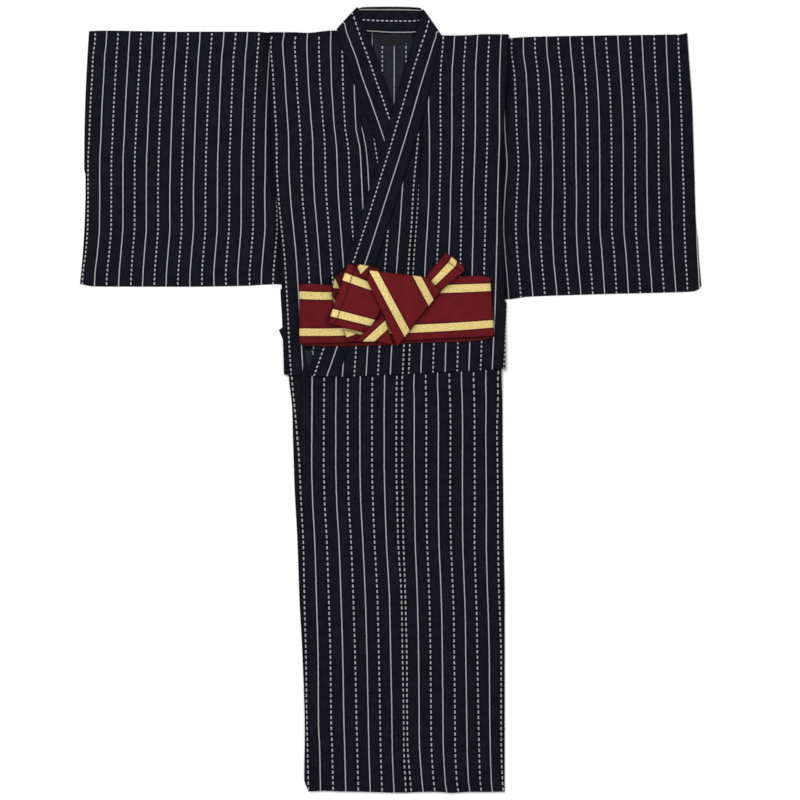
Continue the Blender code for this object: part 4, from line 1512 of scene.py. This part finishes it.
def stitch_tree(name, finish):
    """Geometry nodes that lay running stitches along a path, with named sizes."""
    tree = bpy.data.node_groups.new(name, "GeometryNodeTree")
    tree.interface.new_socket("Geometry", in_out="INPUT", socket_type="NodeSocketGeometry")
    for label, value in STITCH.items():
        socket = tree.interface.new_socket(label, in_out="INPUT", socket_type="NodeSocketFloat")
        socket.default_value = value
    tree.interface.new_socket("Geometry", in_out="OUTPUT", socket_type="NodeSocketGeometry")
    node = Nodes(tree).node
    given = node("NodeGroupInput").outputs
    length, gap, radius = (given[label] for label in STITCH)
    pitch = node("ShaderNodeMath", {0: length, 1: gap}).outputs[0]
    curve = node("GeometryNodeMeshToCurve", {"Mesh": given["Geometry"]}).outputs[0]
    places = node("GeometryNodeCurveToPoints", mode="LENGTH")
    tree.links.new(curve, places.inputs["Curve"])
    tree.links.new(pitch, places.inputs["Length"])
    bead = node("GeometryNodeMeshUVSphere", {"Segments": 8, "Rings": 6, "Radius": radius})
    ratio = node("ShaderNodeMath", {0: length, 1: radius}, operation="DIVIDE").outputs[0]
    half = node("ShaderNodeMath", {0: ratio, 1: 0.5}, operation="MULTIPLY").outputs[0]
    size = node("ShaderNodeCombineXYZ", {0: 1.0, 1: 1.0, 2: half}).outputs[0]
    beads = node("GeometryNodeInstanceOnPoints", {
        "Points": places.outputs["Points"],
        "Instance": bead.outputs["Mesh"],
        "Rotation": places.outputs["Rotation"],
        "Scale": size,
    }).outputs[0]
    real = node("GeometryNodeRealizeInstances", {0: beads}).outputs[0]
    coloured = node("GeometryNodeSetMaterial", {0: real, "Material": finish}).outputs[0]
    node("NodeGroupOutput", {0: coloured})
    return tree


def stitches(name, tree, paths):
    """Running stitches along paths of points, as one plain mesh."""
    verts, edges = [], []
    for path in paths:
        start = len(verts)
        verts += path
        edges += [(start + i, start + i + 1) for i in range(len(path) - 1)]
    mesh = bpy.data.meshes.new(name)
    mesh.from_pydata(verts, edges, [])
    piece = linked(name, mesh)
    sewn = piece.modifiers.new("stitches", "NODES")
    sewn.node_group = tree
    for item in tree.interface.items_tree:
        if item.in_out == "INPUT" and item.name in STITCH:
            sewn[item.identifier] = STITCH[item.name]
    return applied(piece)


# Putting it together

navy = striped_cloth("navy pinstripe cloth", rgb(13, 14, 21), rgb(23, 24, 33), rgb(170, 170, 172))
navy_inside = striped_cloth("inside of the cloth", rgb(27, 28, 36), rgb(39, 40, 49), rgb(160, 160, 165), 0.9)
satin = label_satin("black label satin")
crimson = obi_cloth("crimson and gold obi cloth")

cloths = [navy, navy_inside]

PIECES = {
    "body_right": body_half("body_right_cloth", -1, cloths),
    "body_left": body_half("body_left_cloth", 1, cloths),
    "overlap_right": overlap("overlap_right_cloth", -1, cloths),
    "overlap_left": overlap("overlap_left_cloth", 1, cloths),
}
for node, side in (("sleeve_right", -1), ("sleeve_left", 1)):
    PIECES[node] = sleeve(node, side, cloths)
    PIECES[node].name = node + "_cloth"
PIECES["collar"] = collar("collar_band", [navy])
PIECES["neck_label"] = neck_label("neck_label_satin", [satin])
PIECES["obi_loop"] = obi_loop("obi_loop_band", [crimson])
for stretch in KNOT:
    PIECES[stretch] = knot_piece(stretch, [crimson])
    PIECES[stretch].name = stretch + "_band"

thread_colour = rgb(34, 4, 8)
thread_shade = tuple(value * 0.6 for value in thread_colour[:3]) + (1,)
crimson_thread = mottled("dark crimson thread", 2000, 1, (thread_colour, thread_shade), 0.8, 0.15)
hem_tree = stitch_tree("running stitch", crimson_thread)
THREAD_LIFT = OBI_SHELL / 2 - 0.2 * MM
hem_rows = [hem_path(stretch, THREAD_LIFT) for stretch in KNOT_HEMS]
obi_stitches = stitches("obi_hem_stitches", hem_tree, hem_rows)

for node, piece in PIECES.items():
    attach(piece, ROOT)
    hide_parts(node)
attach(obi_stitches, ROOT)

# Floor, light and camera
FLOOR_REACH = 4.0
FLOOR_DROP = 0.5 * MM
corners = [(x * FLOOR_REACH, y * FLOOR_REACH, -FLOOR_DROP) for x, y in ((-1, -1), (1, -1), (1, 1), (-1, 1))]
ground_mesh = bpy.data.meshes.new("ground")
ground_mesh.from_pydata(corners, [], [(0, 1, 2, 3)])
whites = ((0.95, 0.95, 0.95, 1), (0.97, 0.97, 0.97, 1))
ground = linked("ground", ground_mesh, [mottled("pale floor", 3, 2, whites, 0.9, 0.1)])


def area_light(name, place, size, power):
    """A round light that faces the middle of the garment."""
    lamp = bpy.data.lights.new(name, "AREA")
    lamp.shape = "DISK"
    lamp.size = size
    lamp.energy = power
    holder = linked(name, lamp)
    holder.location = place
    holder.rotation_euler = (-Vector(place)).to_track_quat("-Z", "Y").to_euler()


area_light("key", (-1.5, 1.7, 3.6), 1.8, 118)
area_light("fill", (2.0, -2.6, 3.4), 2.8, 62)

world = bpy.data.worlds.new("studio")
bpy.context.scene.world = world
world.use_nodes = True
sky = world.node_tree.nodes["Background"].inputs
sky["Color"].default_value = (1, 1, 1, 1)
sky["Strength"].default_value = 0.42

PICTURE_WIDTH = 800
REAL_PER_PIXEL = 1.9 * MM
PICTURE_CENTRE = (18.05 * MM, -1.9 * MM)
LENS = 200
SENSOR = 36
distance = PICTURE_WIDTH * REAL_PER_PIXEL * LENS / SENSOR
eye = bpy.data.cameras.new("camera")
eye.lens = LENS
eye.sensor_width = SENSOR
eye.clip_end = 50
camera = linked("camera", eye)
camera.location = (*PICTURE_CENTRE, distance)
bpy.context.scene.camera = camera
bpy.context.scene.view_settings.view_transform = "Standard"
